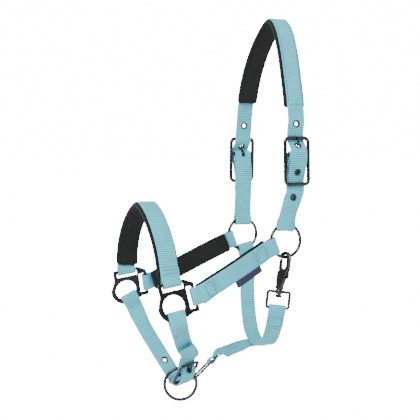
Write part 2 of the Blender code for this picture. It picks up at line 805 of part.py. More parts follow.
def ring_loop(width, tail):
    """A loop over a round ring: long enough for the ring's curve across the strap."""
    return (WIRE_LOOP, drop(width), drop(width) + 10.0, tail)


def crown_buckle(side, label):
    axes = buckle_frame_axes(side)
    centre, bar = mirrored(BUCKLE, side), mirrored(CENTRE_BAR, side)
    bars = (6.0, BUCKLE_BAR, BUCKLE_SIDE)
    name = f"{label}_crown_buckle_frame"
    bar_up = CENTRE_BAR_UP
    buckle_frame(name, centre, axes, BUCKLE_SIZE, bars, BUCKLE_CORNER, 4.2, bar_up, CENTRE_BAR_R)
    tongue(f"{label}_crown_buckle_tongue", bar, axes, CENTRE_BAR_R, CROWN_SHANK)
    route = buckle_strap_route(side)
    half = route.length / 2
    stations = looped(route, (BAR_LOOP, 0, 14.0, half - 1.0), ring_loop(WEB_WIDE, half - 1.0))
    band = strap(f"{label}_crown_buckle_strap", route, stations, WEB_WIDE)
    tongue_slot(band, f"{label}_crown_buckle", bar, axes, 5.2)


def cheek(side, label):
    add(f"{label}_cheek_ring", *tube(ring_centre(side), ((0, 1, 0), (0, 0, 1), (1, 0, 0)), RING_WIRE,
        circle(RING_MAJOR, 32)), "metal", smooth=True, pivot=ring_centre(side))
    route = cheek_route(side)
    front, back = (SLOT_LOOP, 1.2, 9.0, 30.0), ring_loop(WEB_SLIM, 34.0)
    strap(f"{label}_cheek_strap", route, looped(route, front, back, steps=5), WEB_SLIM)
    start, stop = CHEEK_PAD_ENDS[0], route.length - CHEEK_PAD_ENDS[1]
    pad = pad_stations(start, (start + stop) / 2, stop, step=3.5)
    pad = [(s, -bulge(front, s) - bulge(back, route.length - s)) for s in pad]
    wide = WEB_SLIM + 2 * CHEEK_PAD_MARGIN
    pad = ribbon(route, pad, wide, PAD, round_ends=3.0, out=-PAD_DEPTH - 1.6 * GAP)
    add(f"{label}_cheek_pad", *pad, "neoprene")


def side_plate(side, label):
    rear, up, out = plate_axes(side)
    centre = mirrored(PLATE, side)
    frame = (rear, up, out)
    half_slot = SLOT_LENGTH / 2
    arm = 4.4
    rear_x, rear_y = REAR_BAR
    top_x, top_y = TOP_BAR
    wall = PLATE_HOLE + 6.0
    edge = [(-wall * np.cos(a), -wall * np.sin(a), 0) for a in np.radians(np.linspace(0, 120, 13))]
    outline = [
        (top_x - half_slot - arm, 14.0, 0),
        *edge,
        (rear_x - 6.0, rear_y - half_slot - arm, 0),
        (rear_x - 0.4, rear_y - half_slot - arm, 0),
        (rear_x + SLOT_BAR / 2, rear_y - half_slot - arm + 2.4, 0),
        (rear_x + SLOT_BAR / 2, rear_y + half_slot + arm - 2.4, 0),
        (rear_x - 1.4, rear_y + half_slot + arm - 0.6, 0),
        (top_x + half_slot + arm - 1.4, top_y + SLOT_BAR / 2, 0),
        (top_x - half_slot - arm + 2.4, top_y + SLOT_BAR / 2, 0),
        (top_x - half_slot - arm, top_y - 0.4, 0),
    ]
    made = prism(f"{label}_side_plate", outline, PLATE_T, centre, frame, "casting", bevel=0.5)
    cut = PLATE_T + 4
    hole = peg(f"{label}_plate_hole", centre, out, PLATE_HOLE, cut, sides=28)
    boolean(made, hole, "DIFFERENCE")
    top_low, top_high = 18.7, top_y - SLOT_BAR / 2
    middle = (top_x, (top_low + top_high) / 2)
    slot = rounded_rectangle(SLOT_LENGTH, top_high - top_low, 1.2, 2, centre=middle)
    boolean(made, prism(f"{label}_plate_top_slot", slot, cut, centre, frame), "DIFFERENCE")
    front, back = 19.5, rear_x - SLOT_BAR / 2
    slot = rounded_rectangle(back - front, SLOT_LENGTH, 1.2, 2, centre=((front + back) / 2, rear_y))
    boolean(made, prism(f"{label}_plate_rear_slot", slot, cut, centre, frame), "DIFFERENCE")


def noseband():
    route = nose_route()
    loop = (SLOT_LOOP, 1.2, 9.0, 19.0)
    strap("noseband_strap", route, looped(route, loop, loop, steps=5), WEB_WIDE)
    middle = route.length / 2
    pad = pad_stations(NOSE_PAD_END, middle, route.length - NOSE_PAD_END, step=5.5)
    pad = [(s, -bulge(loop, s) - bulge(loop, route.length - s)) for s in pad]
    wide = WEB_WIDE + 2 * PAD_MARGIN
    pad = ribbon(route, pad, wide, PAD, round_ends=4.0, out=-PAD_DEPTH - 1.5 * GAP)
    add("noseband_pad", *pad, "neoprene")


def chin():
    loop = (RIM_LOOP, 11.5, 22.0, 34.0)
    bar_loop = (BAR_LOOP, 0, 11.0, 40.0)
    near, far = near_chin_route(), far_chin_route()
    band = strap("near_chin_strap", near, looped(near, loop, bar_loop, step=5.0), WEB_SLIM)
    tongue_slot(band, "chin_buckle", CHIN_BUCKLE, CHIN_AXES, 9.0)
    band = strap("far_chin_strap", far, looped(far, loop, None, step=3.5), WEB_SLIM)
    marks = (
        nearest(far, (-33.0, -132.5, -163.0)),
        nearest(far, buckle_point(CHIN_BUCKLE, CHIN_AXES, CHIN_HOLE + 0.8, 3.0)),
    )
    for number, s in enumerate(marks, 1):
        centre, normal = far.place(s, -LAYER), far.frame(s)[2]
        eyelet(f"chin_eyelet_{number}", centre, normal)
        punch(band, f"chin_eyelet_{number}", centre, normal)
    bars = (CHIN_BUCKLE_BAR, CHIN_BUCKLE_BAR, CHIN_BUCKLE_BAR)
    place = ("chin_buckle_frame", CHIN_BUCKLE, CHIN_AXES, CHIN_BUCKLE_SIZE)
    buckle_frame(*place, bars, 5.5, 3.6, 0.0, CENTRE_BAR_R)
    tongue("chin_buckle_tongue", CHIN_BUCKLE, CHIN_AXES, CENTRE_BAR_R, CHIN_SHANK)
    verts, faces = tube(LEAD_CENTRE, LEAD_AXES, LEAD_WIRE, circle(LEAD_MAJOR, 32))
    add("lead_ring", verts, faces, "metal", True, LEAD_CENTRE)
    oval = rounded_rectangle(*LINK_SIZE, LINK_CORNER, 4)
    add("chin_link", *tube(LINK_CENTRE, LINK_AXES, LINK_WIRE, oval), "metal", True, LINK_TOUCH)


def throat():
    route = throat_route()
    eye_loop = (EYE_WIRE + GAP + WEB / 2 + 0.1, 0, 12.0, 30.0)
    strap("throat_strap", route, looped(route, ring_loop(WEB_SLIM, 34.0), eye_loop), WEB_SLIM)
    route = connecting_route()
    link_loop = (LINK_WIRE + 2 * GAP + WEB / 2 + 0.1, 0, 11.0, 14.0)
    strap("connecting_strap", route, looped(route, link_loop, None, step=5.0), 19.5)


def label_tag():
    """A folded tag sewn under the near cheek strap's lower edge."""
    route = cheek_route(1)
    start, stop = route.length * 0.44, route.length * 0.76
    verts = []
    for out in (-LAYER - 0.1, LAYER * 0.4):
        for s, low in ((start, 0), (stop, 0), (stop, 8.5), (start, 8.5)):
            wide = route.frame(s)[1]
            verts.append(route.place(s, out) + wide * (WEB_SLIM / 2 + GAP + low))
    faces = [(0, 1, 2, 3), (7, 6, 5, 4), (0, 4, 5, 1), (1, 5, 6, 2), (2, 6, 7, 3), (3, 7, 4, 0)]
    add("label_tag", verts, faces, "label")


# ---------------------------------------------------------------- snap hook


def snap():
    cx, cy = HOOK_CENTRE
    outer = HOOK_INNER + HOOK_THICK
    frame = SNAP_AXES
    arc = np.radians(np.linspace(0, 180, 11))
    body = [(cx + outer * np.cos(a), cy + outer * np.sin(a), 0) for a in arc]
    tip = 39.4
    body += [(cx - outer, tip, 0), (cx - HOOK_INNER, tip, 0)]
    body += [(cx + HOOK_INNER * np.cos(a), cy + HOOK_INNER * np.sin(a), 0) for a in arc[::-1]]
    body += [
        (cx + HOOK_INNER, 28.5, 0),
        (cx + 1.0, 26.4, 0),
        (0.0, 25.6, 0),
        (-4.6, 22.0, 0),
        (-5.2, 12.0, 0),
        (-4.2, 2.6, 0),
        (4.6, 2.6, 0),
        (7.4, 12.0, 0),
        (cx + outer, 26.0, 0),
    ]
    made = prism("snap_hook_body", body, 6.4, SNAP, frame, bevel=0.9)
    post = [(0.8, -11.0), (4.0, -11.0), (4.0, -7.4), (1.8, -7.4)]
    post += [(1.8, 0.0), (5.4, 0.0), (5.4, 3.4), (0.8, 3.4)]
    boolean(made, spin_profile("snap_post", post, SNAP, SNAP_UP, "metal", 16), "UNION")
    boolean(made, peg("snap_core", snap_point(0, -3.8), SNAP_UP, 1.2, 14.0, 12), "UNION")
    cheek_slot = [(-9, 12.6, 0), (14, 12.6, 0), (14, 25.6, 0), (2.0, 29.5, 0), (-9, 29.5, 0)]
    boolean(made, prism("snap_slot", cheek_slot, 3.2, SNAP, frame), "DIFFERENCE")
    px, py = GATE_PIVOT
    gate = [
        (cx - outer + 0.1, 38.1, 0),
        (cx - outer - 0.9, 27.0, 0),
        (-2.2, 19.0, 0),
        (1.0, 16.4, 0),
        (8.0, 15.2, 0),
        (11.5, 14.6, 0),
        (12.9, 16.4, 0),
        (12.5, 18.8, 0),
        (12.9, 21.2, 0),
        (11.2, 22.6, 0),
        (6.0, 23.4, 0),
        (1.6, 25.4, 0),
        (cx - HOOK_INNER - 0.4, 29.0, 0),
        (cx - HOOK_INNER - 0.4, 38.9, 0),
    ]
    lever = prism("snap_gate", gate, 2.6, SNAP, frame, pivot=snap_point(px, py), bevel=0.3)
    pivot = snap_point(px, py)
    boolean(lever, peg("snap_gate_bore", pivot, frame[2], 1.4, 12.0, 12), "DIFFERENCE")
    boolean(made, peg("snap_body_bore", pivot, frame[2], 1.4, 12.0, 12), "DIFFERENCE")
    pin = peg("snap_gate_pin", pivot, frame[2], 1.1, 7.0, 12)
    spring_line = [(-3.4, 17.2, 0), (-1.2, 14.6, 0), (3.0, 13.5, 0), (7.5, 14.2, 0)]
    verts, faces = tube(SNAP, SNAP_AXES, 0.4, spring_line, sides=6, closed=False)
    add("snap_gate_spring", verts, faces, "metal")

    wide, tall = EYE_SIZE
    centre = SNAP + SNAP_UP * (EYE_TOP - tall / 2)
    ring = rounded_rectangle(wide, tall, EYE_CORNER, 4)
    verts, faces = tube(centre, EYE_AXES, EYE_WIRE, ring)
    eye = add("snap_swivel_eye", verts, faces, "metal", smooth=True, pivot=SNAP + SNAP_UP * EYE_TOP)
    top = SNAP + SNAP_UP * EYE_TOP
    boolean(eye, peg("snap_eye_boss", top, SNAP_UP, 4.3, 6.4, 16), "UNION")
    boolean(eye, peg("snap_eye_bore", top, SNAP_UP, 2.25, 12.0, 14), "DIFFERENCE")


def build():
    for old in list(bpy.data.objects):
        bpy.data.objects.remove(old, do_unlink=True)
    crown()
    for side, label in ((1, "near"), (-1, "far")):
        crown_buckle(side, label)
        cheek(side, label)
        side_plate(side, label)
    noseband()
    chin()
    throat()
    label_tag()
    snap()


build()
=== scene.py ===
"""Looks for the head halter: fine ribbed webbing, neoprene linings with a sewn edge, plated hardware
and cast side plates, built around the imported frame. Millimetres in the layout, metres in the scene."""

import json

import bmesh
import bpy
import numpy as np
from mathutils import Matrix

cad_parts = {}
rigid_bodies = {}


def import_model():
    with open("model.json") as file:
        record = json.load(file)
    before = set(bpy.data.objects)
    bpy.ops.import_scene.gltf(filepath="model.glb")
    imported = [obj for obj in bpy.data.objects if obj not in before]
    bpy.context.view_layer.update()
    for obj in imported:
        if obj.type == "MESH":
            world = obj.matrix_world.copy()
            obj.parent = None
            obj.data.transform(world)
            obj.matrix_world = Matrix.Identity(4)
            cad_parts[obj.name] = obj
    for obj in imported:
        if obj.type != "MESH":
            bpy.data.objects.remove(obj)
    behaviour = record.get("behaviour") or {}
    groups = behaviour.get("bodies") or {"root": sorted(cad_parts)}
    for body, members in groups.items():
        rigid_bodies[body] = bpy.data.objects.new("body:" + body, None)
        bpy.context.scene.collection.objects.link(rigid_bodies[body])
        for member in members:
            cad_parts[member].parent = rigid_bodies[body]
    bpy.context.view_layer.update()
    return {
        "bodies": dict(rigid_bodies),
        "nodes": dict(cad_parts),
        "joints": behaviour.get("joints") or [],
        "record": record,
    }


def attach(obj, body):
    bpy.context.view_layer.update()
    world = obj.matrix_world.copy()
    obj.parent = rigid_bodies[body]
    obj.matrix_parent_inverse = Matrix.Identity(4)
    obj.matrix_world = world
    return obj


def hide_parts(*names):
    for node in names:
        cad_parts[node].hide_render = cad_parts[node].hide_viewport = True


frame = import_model()

MM = 0.001

# Layout is measured, in millimetres, from the middle of the line between the cheek rings.
POLL = (0.0, 18.0, 280.75)
RING_X = 61.0
RING_MAJOR = 21.2
RING_WIRE = 2.1

GAP = 0.3
WEB = 2.0
WEB_WIDE = 23.5
WEB_SLIM = 22.0
LAYER = (WEB + GAP) / 2
PAD = 4.5
PAD_MARGIN = 3.0
CHEEK_PAD_MARGIN = 2.2
PAD_DEPTH = LAYER + WEB / 2 + GAP + PAD / 2
CROWN_PAD_ENDS = {1: 169.0, -1: 180.0}

BUCKLE = (77.0, 6.8, 101.5)
BUCKLE_SIZE = (38.0, 63.0)
BUCKLE_CORNER = 8.0
CENTRE_BAR_UP = 8.5
CENTRE_BAR_R = 1.9
TONGUE_R = 1.1

PLATE = (81.5, -163.8, -71.4)
PLATE_ROLL = 10.0
PLATE_TILT = 14.0
PLATE_YAW = {1: 4.0, -1: -9.0}
PLATE_T = 4.0
PLATE_HOLE = 14.0
SLOT_LENGTH = 27.5
SLOT_BAR = 3.6
TOP_BAR = (4.0, 27.4)
REAR_BAR = (28.5, 6.0)

LEAD_CENTRE = (1.0, -120.4, -185.5)
LEAD_MAJOR = 20.6
LEAD_WIRE = 2.15

CHIN_BUCKLE = (21.8, -122.1, -166.7)
CHIN_BUCKLE_SIZE = (34.0, 34.0)
CHIN_BUCKLE_BAR = 3.6

EYELET_FLANGE = 4.7
EYELET_BORE = 2.5


def unit(v):
    v = np.asarray(v, float)
    return v / np.linalg.norm(v)


def world(points):
    return (np.asarray(points, float) - np.array(POLL)) * MM


def mirrored(point, side):
    """The point for the near side (side 1) or the same one on the far side (side -1)."""
    return np.array([side * point[0], point[1], point[2]], float)


# ---------------------------------------------------------------- routes and ribbons


class Route:
    """A smooth line through points, with a width direction that follows along it."""

    def __init__(self, points, wides, start=None, end=None):
        p = np.asarray(points, float)
        chord = np.diff(p, axis=0)
        gap = np.linalg.norm(chord, axis=1)
        slope = chord / gap[:, None]
        lean = (slope[:-1] * gap[1:, None] + slope[1:] * gap[:-1, None]) / (gap[:-1] + gap[1:])[:, None]
        first = slope[0] if start is None else unit(start)
        final = slope[-1] if end is None else unit(end)
        lean = np.vstack([first, lean, final])
        line, wide = [], []
        for i in range(len(p) - 1):
            for t in np.linspace(0, 1, 24, endpoint=i == len(p) - 2):
                ease = t * t * (3 - 2 * t)
                leave, arrive = t * (1 - t) ** 2 * gap[i], t * t * (t - 1) * gap[i]
                line.append(p[i] * (1 - ease) + p[i + 1] * ease + lean[i] * leave + lean[i + 1] * arrive)
                wide.append(np.asarray(wides[i], float) * (1 - ease) + np.asarray(wides[i + 1], float) * ease)
        self.line = np.array(line)
        steps = np.linalg.norm(np.diff(self.line, axis=0), axis=1)
        self.at = np.concatenate([[0], np.cumsum(steps)])
        self.length = self.at[-1]
        self.tangent = np.gradient(self.line, self.at, axis=0)
        self.tangent /= np.linalg.norm(self.tangent, axis=1)[:, None]
        wide = np.array(wide)
        wide -= self.tangent * (wide * self.tangent).sum(1)[:, None]
        self.wide = wide / np.linalg.norm(wide, axis=1)[:, None]
        self.normal = np.cross(self.wide, self.tangent)
        self.length_at_middle = float(np.interp(0, -self.line[:, 0], self.at))

    def read(self, values, s):
        return np.array([np.interp(s, self.at, values[:, k]) for k in range(3)])

    def frame(self, s):
        t, w = unit(self.read(self.tangent, s)), self.read(self.wide, s)
        w = unit(w - t * (w @ t))
        return t, w, np.cross(w, t)

    def place(self, s, n):
        """The point at distance s along the route and n out from it. Past an end it runs on straight."""
        t, _, normal = self.frame(s)
        inside = min(max(s, 0), self.length)
        return self.read(self.line, inside) + t * (s - inside) + normal * n


def spread(start, stop, step):
    return np.linspace(start, stop, max(2, int(round(abs(stop - start) / step)) + 1))


def end_loop(radius, straight, reach, tail, steps, step):
    """(along, out) from the tail's cut end, round a bar at (0, 0) and back to the main layer. The
    loop keeps its full width for the straight distance and has closed up at reach."""

    def half_width(s):
        ease = min(1.0, (reach - s) / (reach - straight))
        return LAYER + (radius - LAYER) * ease * ease * (3 - 2 * ease)

    closing = list(np.linspace(reach, straight, steps + 1)) + ([0.0] if straight else [])
    out = [(s, LAYER) for s in spread(tail, reach, step)[:-1]]
    out += [(s, half_width(s)) for s in closing[:-1]]
    for turn in np.linspace(0, np.pi, 2 * steps + 1):
        out.append((-radius * np.sin(turn), radius * np.cos(turn)))
    out += [(s, -half_width(s)) for s in closing[-2::-1]]
    return out


def looped(route, first=None, last=None, step=7.0, steps=4):
    """(along, out) stations of a strap. Each end is (radius, straight, reach, tail) for a loop, with
    the tail on the outside, or a number for a cut end that far along."""
    length = route.length
    head = end_loop(*first, steps, step) if isinstance(first, tuple) else [(first or 0, 0.0)]
    if isinstance(last, tuple):
        tail = [(length - s, n) for s, n in reversed(end_loop(*last, steps, step))]
    else:
        tail = [(last if last is not None else length, 0.0)]
    main = -LAYER if isinstance(first, tuple) or isinstance(last, tuple) else 0.0
    if not isinstance(first, tuple):
        head = [(head[0][0], main)]
    if not isinstance(last, tuple):
        tail = [(tail[0][0], main)]
    middle = [(s, main) for s in spread(head[-1][0], tail[0][0], step)[1:-1]]
    return head + middle + tail


def circle(radius, count, start=0.0, stop=2 * np.pi):
    angles = np.linspace(start, stop, count, endpoint=False)
    return [(radius * np.cos(a), radius * np.sin(a), 0) for a in angles]


def rounded_rectangle(width, height, radius, steps=4, centre=(0, 0)):
    """Outline points (x, y, 0), anticlockwise, with quarter-round corners."""
    out = []
    for cx, cy, start in ((1, 1, 0), (-1, 1, 90), (-1, -1, 180), (1, -1, 270)):
        for a in np.radians(np.linspace(start, start + 90, steps + 1)):
            x = centre[0] + cx * (width / 2 - radius) + radius * np.cos(a)
            y = centre[1] + cy * (height / 2 - radius) + radius * np.sin(a)
            out.append((x, y, 0))
    return out


def drop(width):
    """How far a straight fold of this width sits inside the top of a cheek ring."""
    inside = RING_MAJOR - RING_WIRE
    return inside + GAP - (inside**2 - (width / 2) ** 2) ** 0.5


def buckle_point(centre, frame, along, out, across=0.0):
    """A point from a buckle's middle: along its strap, out from it and across it."""
    lengthwise, wide, normal = (unit(a) for a in frame)
    return np.asarray(centre) + lengthwise * along + normal * out + wide * across


# ---------------------------------------------------------------- layout of the two sides


def buckle_frame_axes(side):
    """Upward along the strap, across it and outward."""
    up = unit((-0.03 * side, 0, 1))
    out = unit((side, 0, 0.03))
    wide = np.cross(out, up)
    return up, wide, out


def ring_centre(side):
    return (side * RING_X, 0.0, 0.0)


def plate_axes(side):
    """Rearward and upward in the side plate's face, and outward from it."""
    roll, tilt, yaw = np.radians((PLATE_ROLL, PLATE_TILT, PLATE_YAW[side]))
    rear = np.array([side * np.sin(yaw), np.cos(yaw) * np.cos(roll), np.sin(roll)])
    up = np.array([-side * np.sin(tilt), -np.sin(roll) * np.cos(tilt), np.cos(roll) * np.cos(tilt)])
    rear = unit(rear)
    up = unit(up - rear * (up @ rear))
    return rear, up, side * np.cross(rear, up)


def plate_point(side, rear, up, out=0.0):
    axes = plate_axes(side)
    return mirrored(PLATE, side) + axes[0] * rear + axes[1] * up + axes[2] * out


CENTRE_BAR = (BUCKLE[0] - 0.03 * CENTRE_BAR_UP, BUCKLE[1], BUCKLE[2] + CENTRE_BAR_UP)
TOP_REACH = BUCKLE_SIZE[1] / 2 - CENTRE_BAR_UP - 2.1
LOW_REACH = -BUCKLE_SIZE[1] / 2 - CENTRE_BAR_UP + 3.0
UNDER_BAR = -3.45
TONGUE_HOLE = 10.6
OVER_BUCKLE = (
    (TOP_REACH + 7, UNDER_BAR),
    (TOP_REACH, UNDER_BAR),
    (17.5, -2.9),
    (14.0, -0.9),
    (TONGUE_HOLE, 2.1),
    (7.0, 4.6),
    (3.0, 5.7),
    (-3.0, 5.7),
    (-12.0, 4.2),
    (-22.0, 0.6),
    (-31.0, -2.8),
    (LOW_REACH, UNDER_BAR - 0.1),
    (LOW_REACH - 8, -2.9),
)
CROWN_ARCH = (
    (72.6, 8.0, 150.0),
    (70.9, 8.3, 165.0),
    (66.6, 8.6, 186.0),
    (59.8, 9.4, 208.0),
    (50.5, 11.2, 231.0),
    (39.0, 13.6, 252.0),
    (26.5, 16.2, 269.0),
    (14.0, 17.7, 281.0),
    (4.5, 18.0, 286.4),
)
TAIL_ENDS = {
    1: ((75.9, 0.4, 53.0), (74.5, -4.0, 33.0), (72.6, -8.0, 14.0)),
    -1: ((76.4, 8.2, 53.0), (76.4, 9.0, 43.0)),
}


def crown_route():
    points = []
    for side in (1, -1):
        axes = buckle_frame_axes(side)
        half = [mirrored(p, side) for p in reversed(TAIL_ENDS[side])]
        over = [buckle_point(mirrored(CENTRE_BAR, side), axes, a, n) for a, n in reversed(OVER_BUCKLE)]
        half += over + [mirrored(p, side) for p in CROWN_ARCH]
        points += half if side == 1 else half[::-1]
    return Route(points, [np.array([0, 1, 0.0])] * len(points))


def nearest(route, point):
    gap = np.linalg.norm(route.line - np.asarray(point), axis=1)
    return route.at[int(np.argmin(gap))]


def buckle_strap_route(side):
    """Down from the crown buckle's centre bar to the cheek ring."""
    axes = buckle_frame_axes(side)
    bar = mirrored(CENTRE_BAR, side)
    down = [(0, 0), (-9, -3.1), (-20, -6.2), (LOW_REACH, -7.0), (LOW_REACH - 10, -6.6)]
    points = [buckle_point(bar, axes, a, n) for a, n in down]
    end = mirrored((RING_X, 0, RING_MAJOR - drop(WEB_WIDE)), side)
    points += [end + mirrored((3.2, 1.6, 17.0), side), end]
    wides = [np.array([0, -side, 0.0])] * len(points)
    return Route(points, wides, start=buckle_point((0, 0, 0), axes, -9, -3.4), end=(0, 0, -1))


CHEEK_ANGLE = 21.0
THROAT_ANGLE = 14.0


def cheek_route(side):
    """Rearward from the side plate's rear bar to the front of the cheek ring."""
    rear, up, _ = plate_axes(side)
    start = plate_point(side, *REAR_BAR)
    angle = np.radians(CHEEK_ANGLE)
    back = np.array([0, np.cos(angle), np.sin(angle)])
    reach = RING_MAJOR - drop(WEB_SLIM)
    end = np.asarray(ring_centre(side)) - back * reach
    middle = (start + end) / 2 + np.array([side * 3.0, 0, -1.0])
    wide = np.array([0, np.sin(angle), -np.cos(angle)]) * side
    upper = start * 0.72 + end * 0.28 + (side * 2.4, 0, -1.6)
    lower = start * 0.2 + end * 0.8 + (side * 2.0, 0, 0)
    return Route(
        [start, upper, middle, lower, end],
        [-up * side, wide, wide, wide, wide],
        start=rear,
        end=back,
    )


NOSE_ARCH = (
    (75.2, -166.4, -31.0),
    (72.2, -167.0, -18.0),
    (66.8, -167.4, -4.0),
    (57.6, -167.8, 11.0),
    (45.2, -168.0, 25.5),
    (30.5, -168.0, 38.5),
    (15.5, -168.0, 47.5),
    (4.5, -168.0, 51.2),
)


def nose_route():
    """From the near plate's top bar over the nose to the far plate's."""
    near = [plate_point(1, *TOP_BAR)] + [np.array(p) for p in NOSE_ARCH]
    far = [mirrored(p, -1) for p in reversed(NOSE_ARCH)] + [plate_point(-1, *TOP_BAR)]
    wides = [plate_axes(1)[0]] + [np.array([0, 1, 0.0])] * (2 * len(NOSE_ARCH)) + [plate_axes(-1)[0]]
    return Route(near + far, wides, start=plate_axes(1)[1], end=-plate_axes(-1)[1])


CHIN_LONG = unit((0.60, 0.11, 0.79))
CHIN_WIDE = unit((-0.32, 0.94, 0.12))
CHIN_WIDE = unit(CHIN_WIDE - CHIN_LONG * (CHIN_WIDE @ CHIN_LONG))
CHIN_OUT = np.cross(CHIN_WIDE, CHIN_LONG)
CHIN_AXES = (CHIN_LONG, CHIN_WIDE, CHIN_OUT)
RIM_FOLD = 10.2
CHIN_LEAN = {1: 0.0, -1: 19.0}
CHIN_TOP = CHIN_BUCKLE_SIZE[1] / 2 - CHIN_BUCKLE_BAR / 2
CHIN_HOLE = 7.0
FAR_CHIN_OVER = (
    (-22.5, -2.5),
    (-20.2, 2.2),
    (-17.0, 4.8),
    (-12.0, 6.0),
    (-7.0, 6.7),
    (-2.0, 7.05),
    (1.5, 7.0),
    (4.7, 6.0),
    (7.8, 3.0),
    (11.0, 0.0),
    (12.9, -1.6),
    (14.9, -2.8),
    (17.1, -3.2),
    (20.0, -3.1),
)
FLAP = ((28.0, 6.2), (37.0, 7.0), (57.0, 8.0))


def rim_fold(side):
    """The first points of a chin strap in its plate's face, its direction there and across it."""
    rear, up, _ = plate_axes(side)
    lean = np.radians(CHIN_LEAN[side])
    down = rear * np.sin(lean) - up * np.cos(lean)
    across = rear * np.cos(lean) + up * np.sin(lean)
    points = [mirrored(PLATE, side) + down * (RIM_FOLD + reach) for reach in (0, 6.5, 12.5)]
    return points, down, -across * side


def near_chin_route():
    """From the near plate's hole down to the chin buckle's centre bar."""
    points, down, across = rim_fold(1)
    points += [
        (64.0, -146.5, -111.0),
        (45.0, -133.5, -129.0),
    ]
    low = [(24.0, -8.5), (CHIN_TOP, -8.1), (8.0, -5.2), (0, 0)]
    points += [buckle_point(CHIN_BUCKLE, CHIN_AXES, a, n) for a, n in low]
    turned = -unit((0.10, 0.93, 0.34))
    wides = [across] * 3 + [turned] * 2 + [-CHIN_WIDE] * 4
    return Route(points, wides, start=down, end=buckle_point((0, 0, 0), CHIN_AXES, -8, 5.0))


def far_chin_route():
    """From the far plate's hole, under the chin, over the chin buckle to the free end turned up."""
    points, down, across = rim_fold(-1)
    points += [
        (-66.0, -145.0, -119.0),
        (-47.0, -136.0, -143.0),
        (-28.0, -127.5, -165.0),
        (-8.0, -122.5, -182.5),
    ]
    points += [buckle_point(CHIN_BUCKLE, CHIN_AXES, a, n) for a, n in FAR_CHIN_OVER]
    near = near_chin_route()
    points += [near.place(near.length - back, out) for back, out in FLAP]
    turned = unit((-0.16, 0.94, 0.24))
    wides = [across] * 3 + [turned] * 3 + [CHIN_WIDE] * (len(FAR_CHIN_OVER) + 1)
    wides += [unit((0.02, 0.95, 0.28))] * len(FLAP)
    return Route(points, wides, start=down)


# ---------------------------------------------------------------- snap layout

SNAP_ACROSS = unit((0.93, 0.37, 0))
SNAP_UP = unit((0.0, 0.12, 0.993))
SNAP_ACROSS = unit(SNAP_ACROSS - SNAP_UP * (SNAP_ACROSS @ SNAP_UP))
HOOK_CENTRE = (4.5, 40.6)
HOOK_INNER = 4.0
WIRE_UP = HOOK_CENTRE[1] + HOOK_INNER - 4 * GAP - RING_WIRE
SNAP = np.array([RING_X, 0, -RING_MAJOR]) - SNAP_UP * WIRE_UP - SNAP_ACROSS * HOOK_CENTRE[0]
EYE_ACROSS = unit((0.35, 0.937, 0))
EYE_ACROSS = unit(EYE_ACROSS - SNAP_UP * (EYE_ACROSS @ SNAP_UP))
EYE_AXES = (EYE_ACROSS, SNAP_UP, np.cross(EYE_ACROSS, SNAP_UP))
EYE_SIZE = (28.6, 20.8)
EYE_CORNER = 2.6
EYE_WIRE = 1.9
EYE_TOP = -3.6


def throat_route():
    """From the bottom of the far ring, under the throat, up to the snap's eye."""
    angle = np.radians(THROAT_ANGLE)
    away = np.array([0, np.sin(angle), -np.cos(angle)])
    start = np.asarray(ring_centre(-1)) + away * (RING_MAJOR - drop(WEB_SLIM))
    end = SNAP + SNAP_UP * (EYE_TOP - EYE_SIZE[1])
    points = [
        start,
        (-61.0, 6.8, -50.0),
        (-58.0, 5.8, -85.0),
        (-47.5, 2.8, -112.0),
        (-32.0, -0.5, -132.0),
        (-14.0, -2.0, -142.5),
        (4.0, -2.0, -144.5),
        (22.0, -3.0, -136.0),
        (38.0, -5.5, -119.0),
        (49.0, -8.0, -102.0),
        end,
    ]
    across = np.array([0, 1, 0.0])
    wides = [(0, np.cos(angle), np.sin(angle))] + [across] * 5
    wides += [unit((0.2, 0.98, 0)), unit((0.35, 0.93, 0))] + [EYE_ACROSS] * 3
    return Route(points, wides, start=away, end=SNAP_UP)


# ---------------------------------------------------------------- chin link layout

LEAD_NORMAL = unit((0.94, -0.28, 0.0))
LEAD_ACROSS = unit((0.28, 0.94, 0))
LEAD_AXES = (LEAD_ACROSS, np.cross(LEAD_NORMAL, LEAD_ACROSS), LEAD_NORMAL)
LINK_LONG = unit((0, 0.77, 0.64))
LINK_WIDE = unit((0.945, -0.21, 0.25))
LINK_WIDE = unit(LINK_WIDE - LINK_LONG * (LINK_WIDE @ LINK_LONG))
LINK_AXES = (LINK_LONG, LINK_WIDE, np.cross(LINK_LONG, LINK_WIDE))
LINK_SIZE = (33.0, 29.0)
LINK_CORNER = 4.0
LINK_WIRE = 1.5
LINK_ANGLE = 24.0
LINK_TOUCH = (
    np.array(LEAD_CENTRE)
    + LEAD_MAJOR * np.cos(np.radians(LINK_ANGLE)) * LEAD_AXES[0]
    + LEAD_MAJOR * np.sin(np.radians(LINK_ANGLE)) * LEAD_AXES[1]
)
LINK_FRONT = LINK_TOUCH - LINK_LONG * (LEAD_WIRE + LINK_WIRE + GAP)
LINK_CENTRE = LINK_FRONT + LINK_LONG * LINK_SIZE[0] / 2


def connecting_route():
    """From the chin link's rear bar back to its seat under the throat strap."""
    start = LINK_FRONT + LINK_LONG * LINK_SIZE[0]
    seat = throat_route()
    s = nearest(seat, (-15.0, -2.0, -142.0))
    lies, across, _ = seat.frame(s)
    touch = [seat.place(s, WEB + 2 * GAP) + across * a for a in (-WEB_SLIM / 2 - 2.0, WEB_SLIM / 2 - 1.0)]
    points = [start, start + LINK_LONG * 9.0, (-5.0, -54.0, -151.0), (-9.0, -36.0, -147.5)] + touch
    wides = [-LINK_WIDE, -LINK_WIDE, unit((-0.84, 0, 0.54)), unit((-0.86, 0, 0.5)), -lies, -lies]
    return Route(points, wides, start=LINK_LONG)


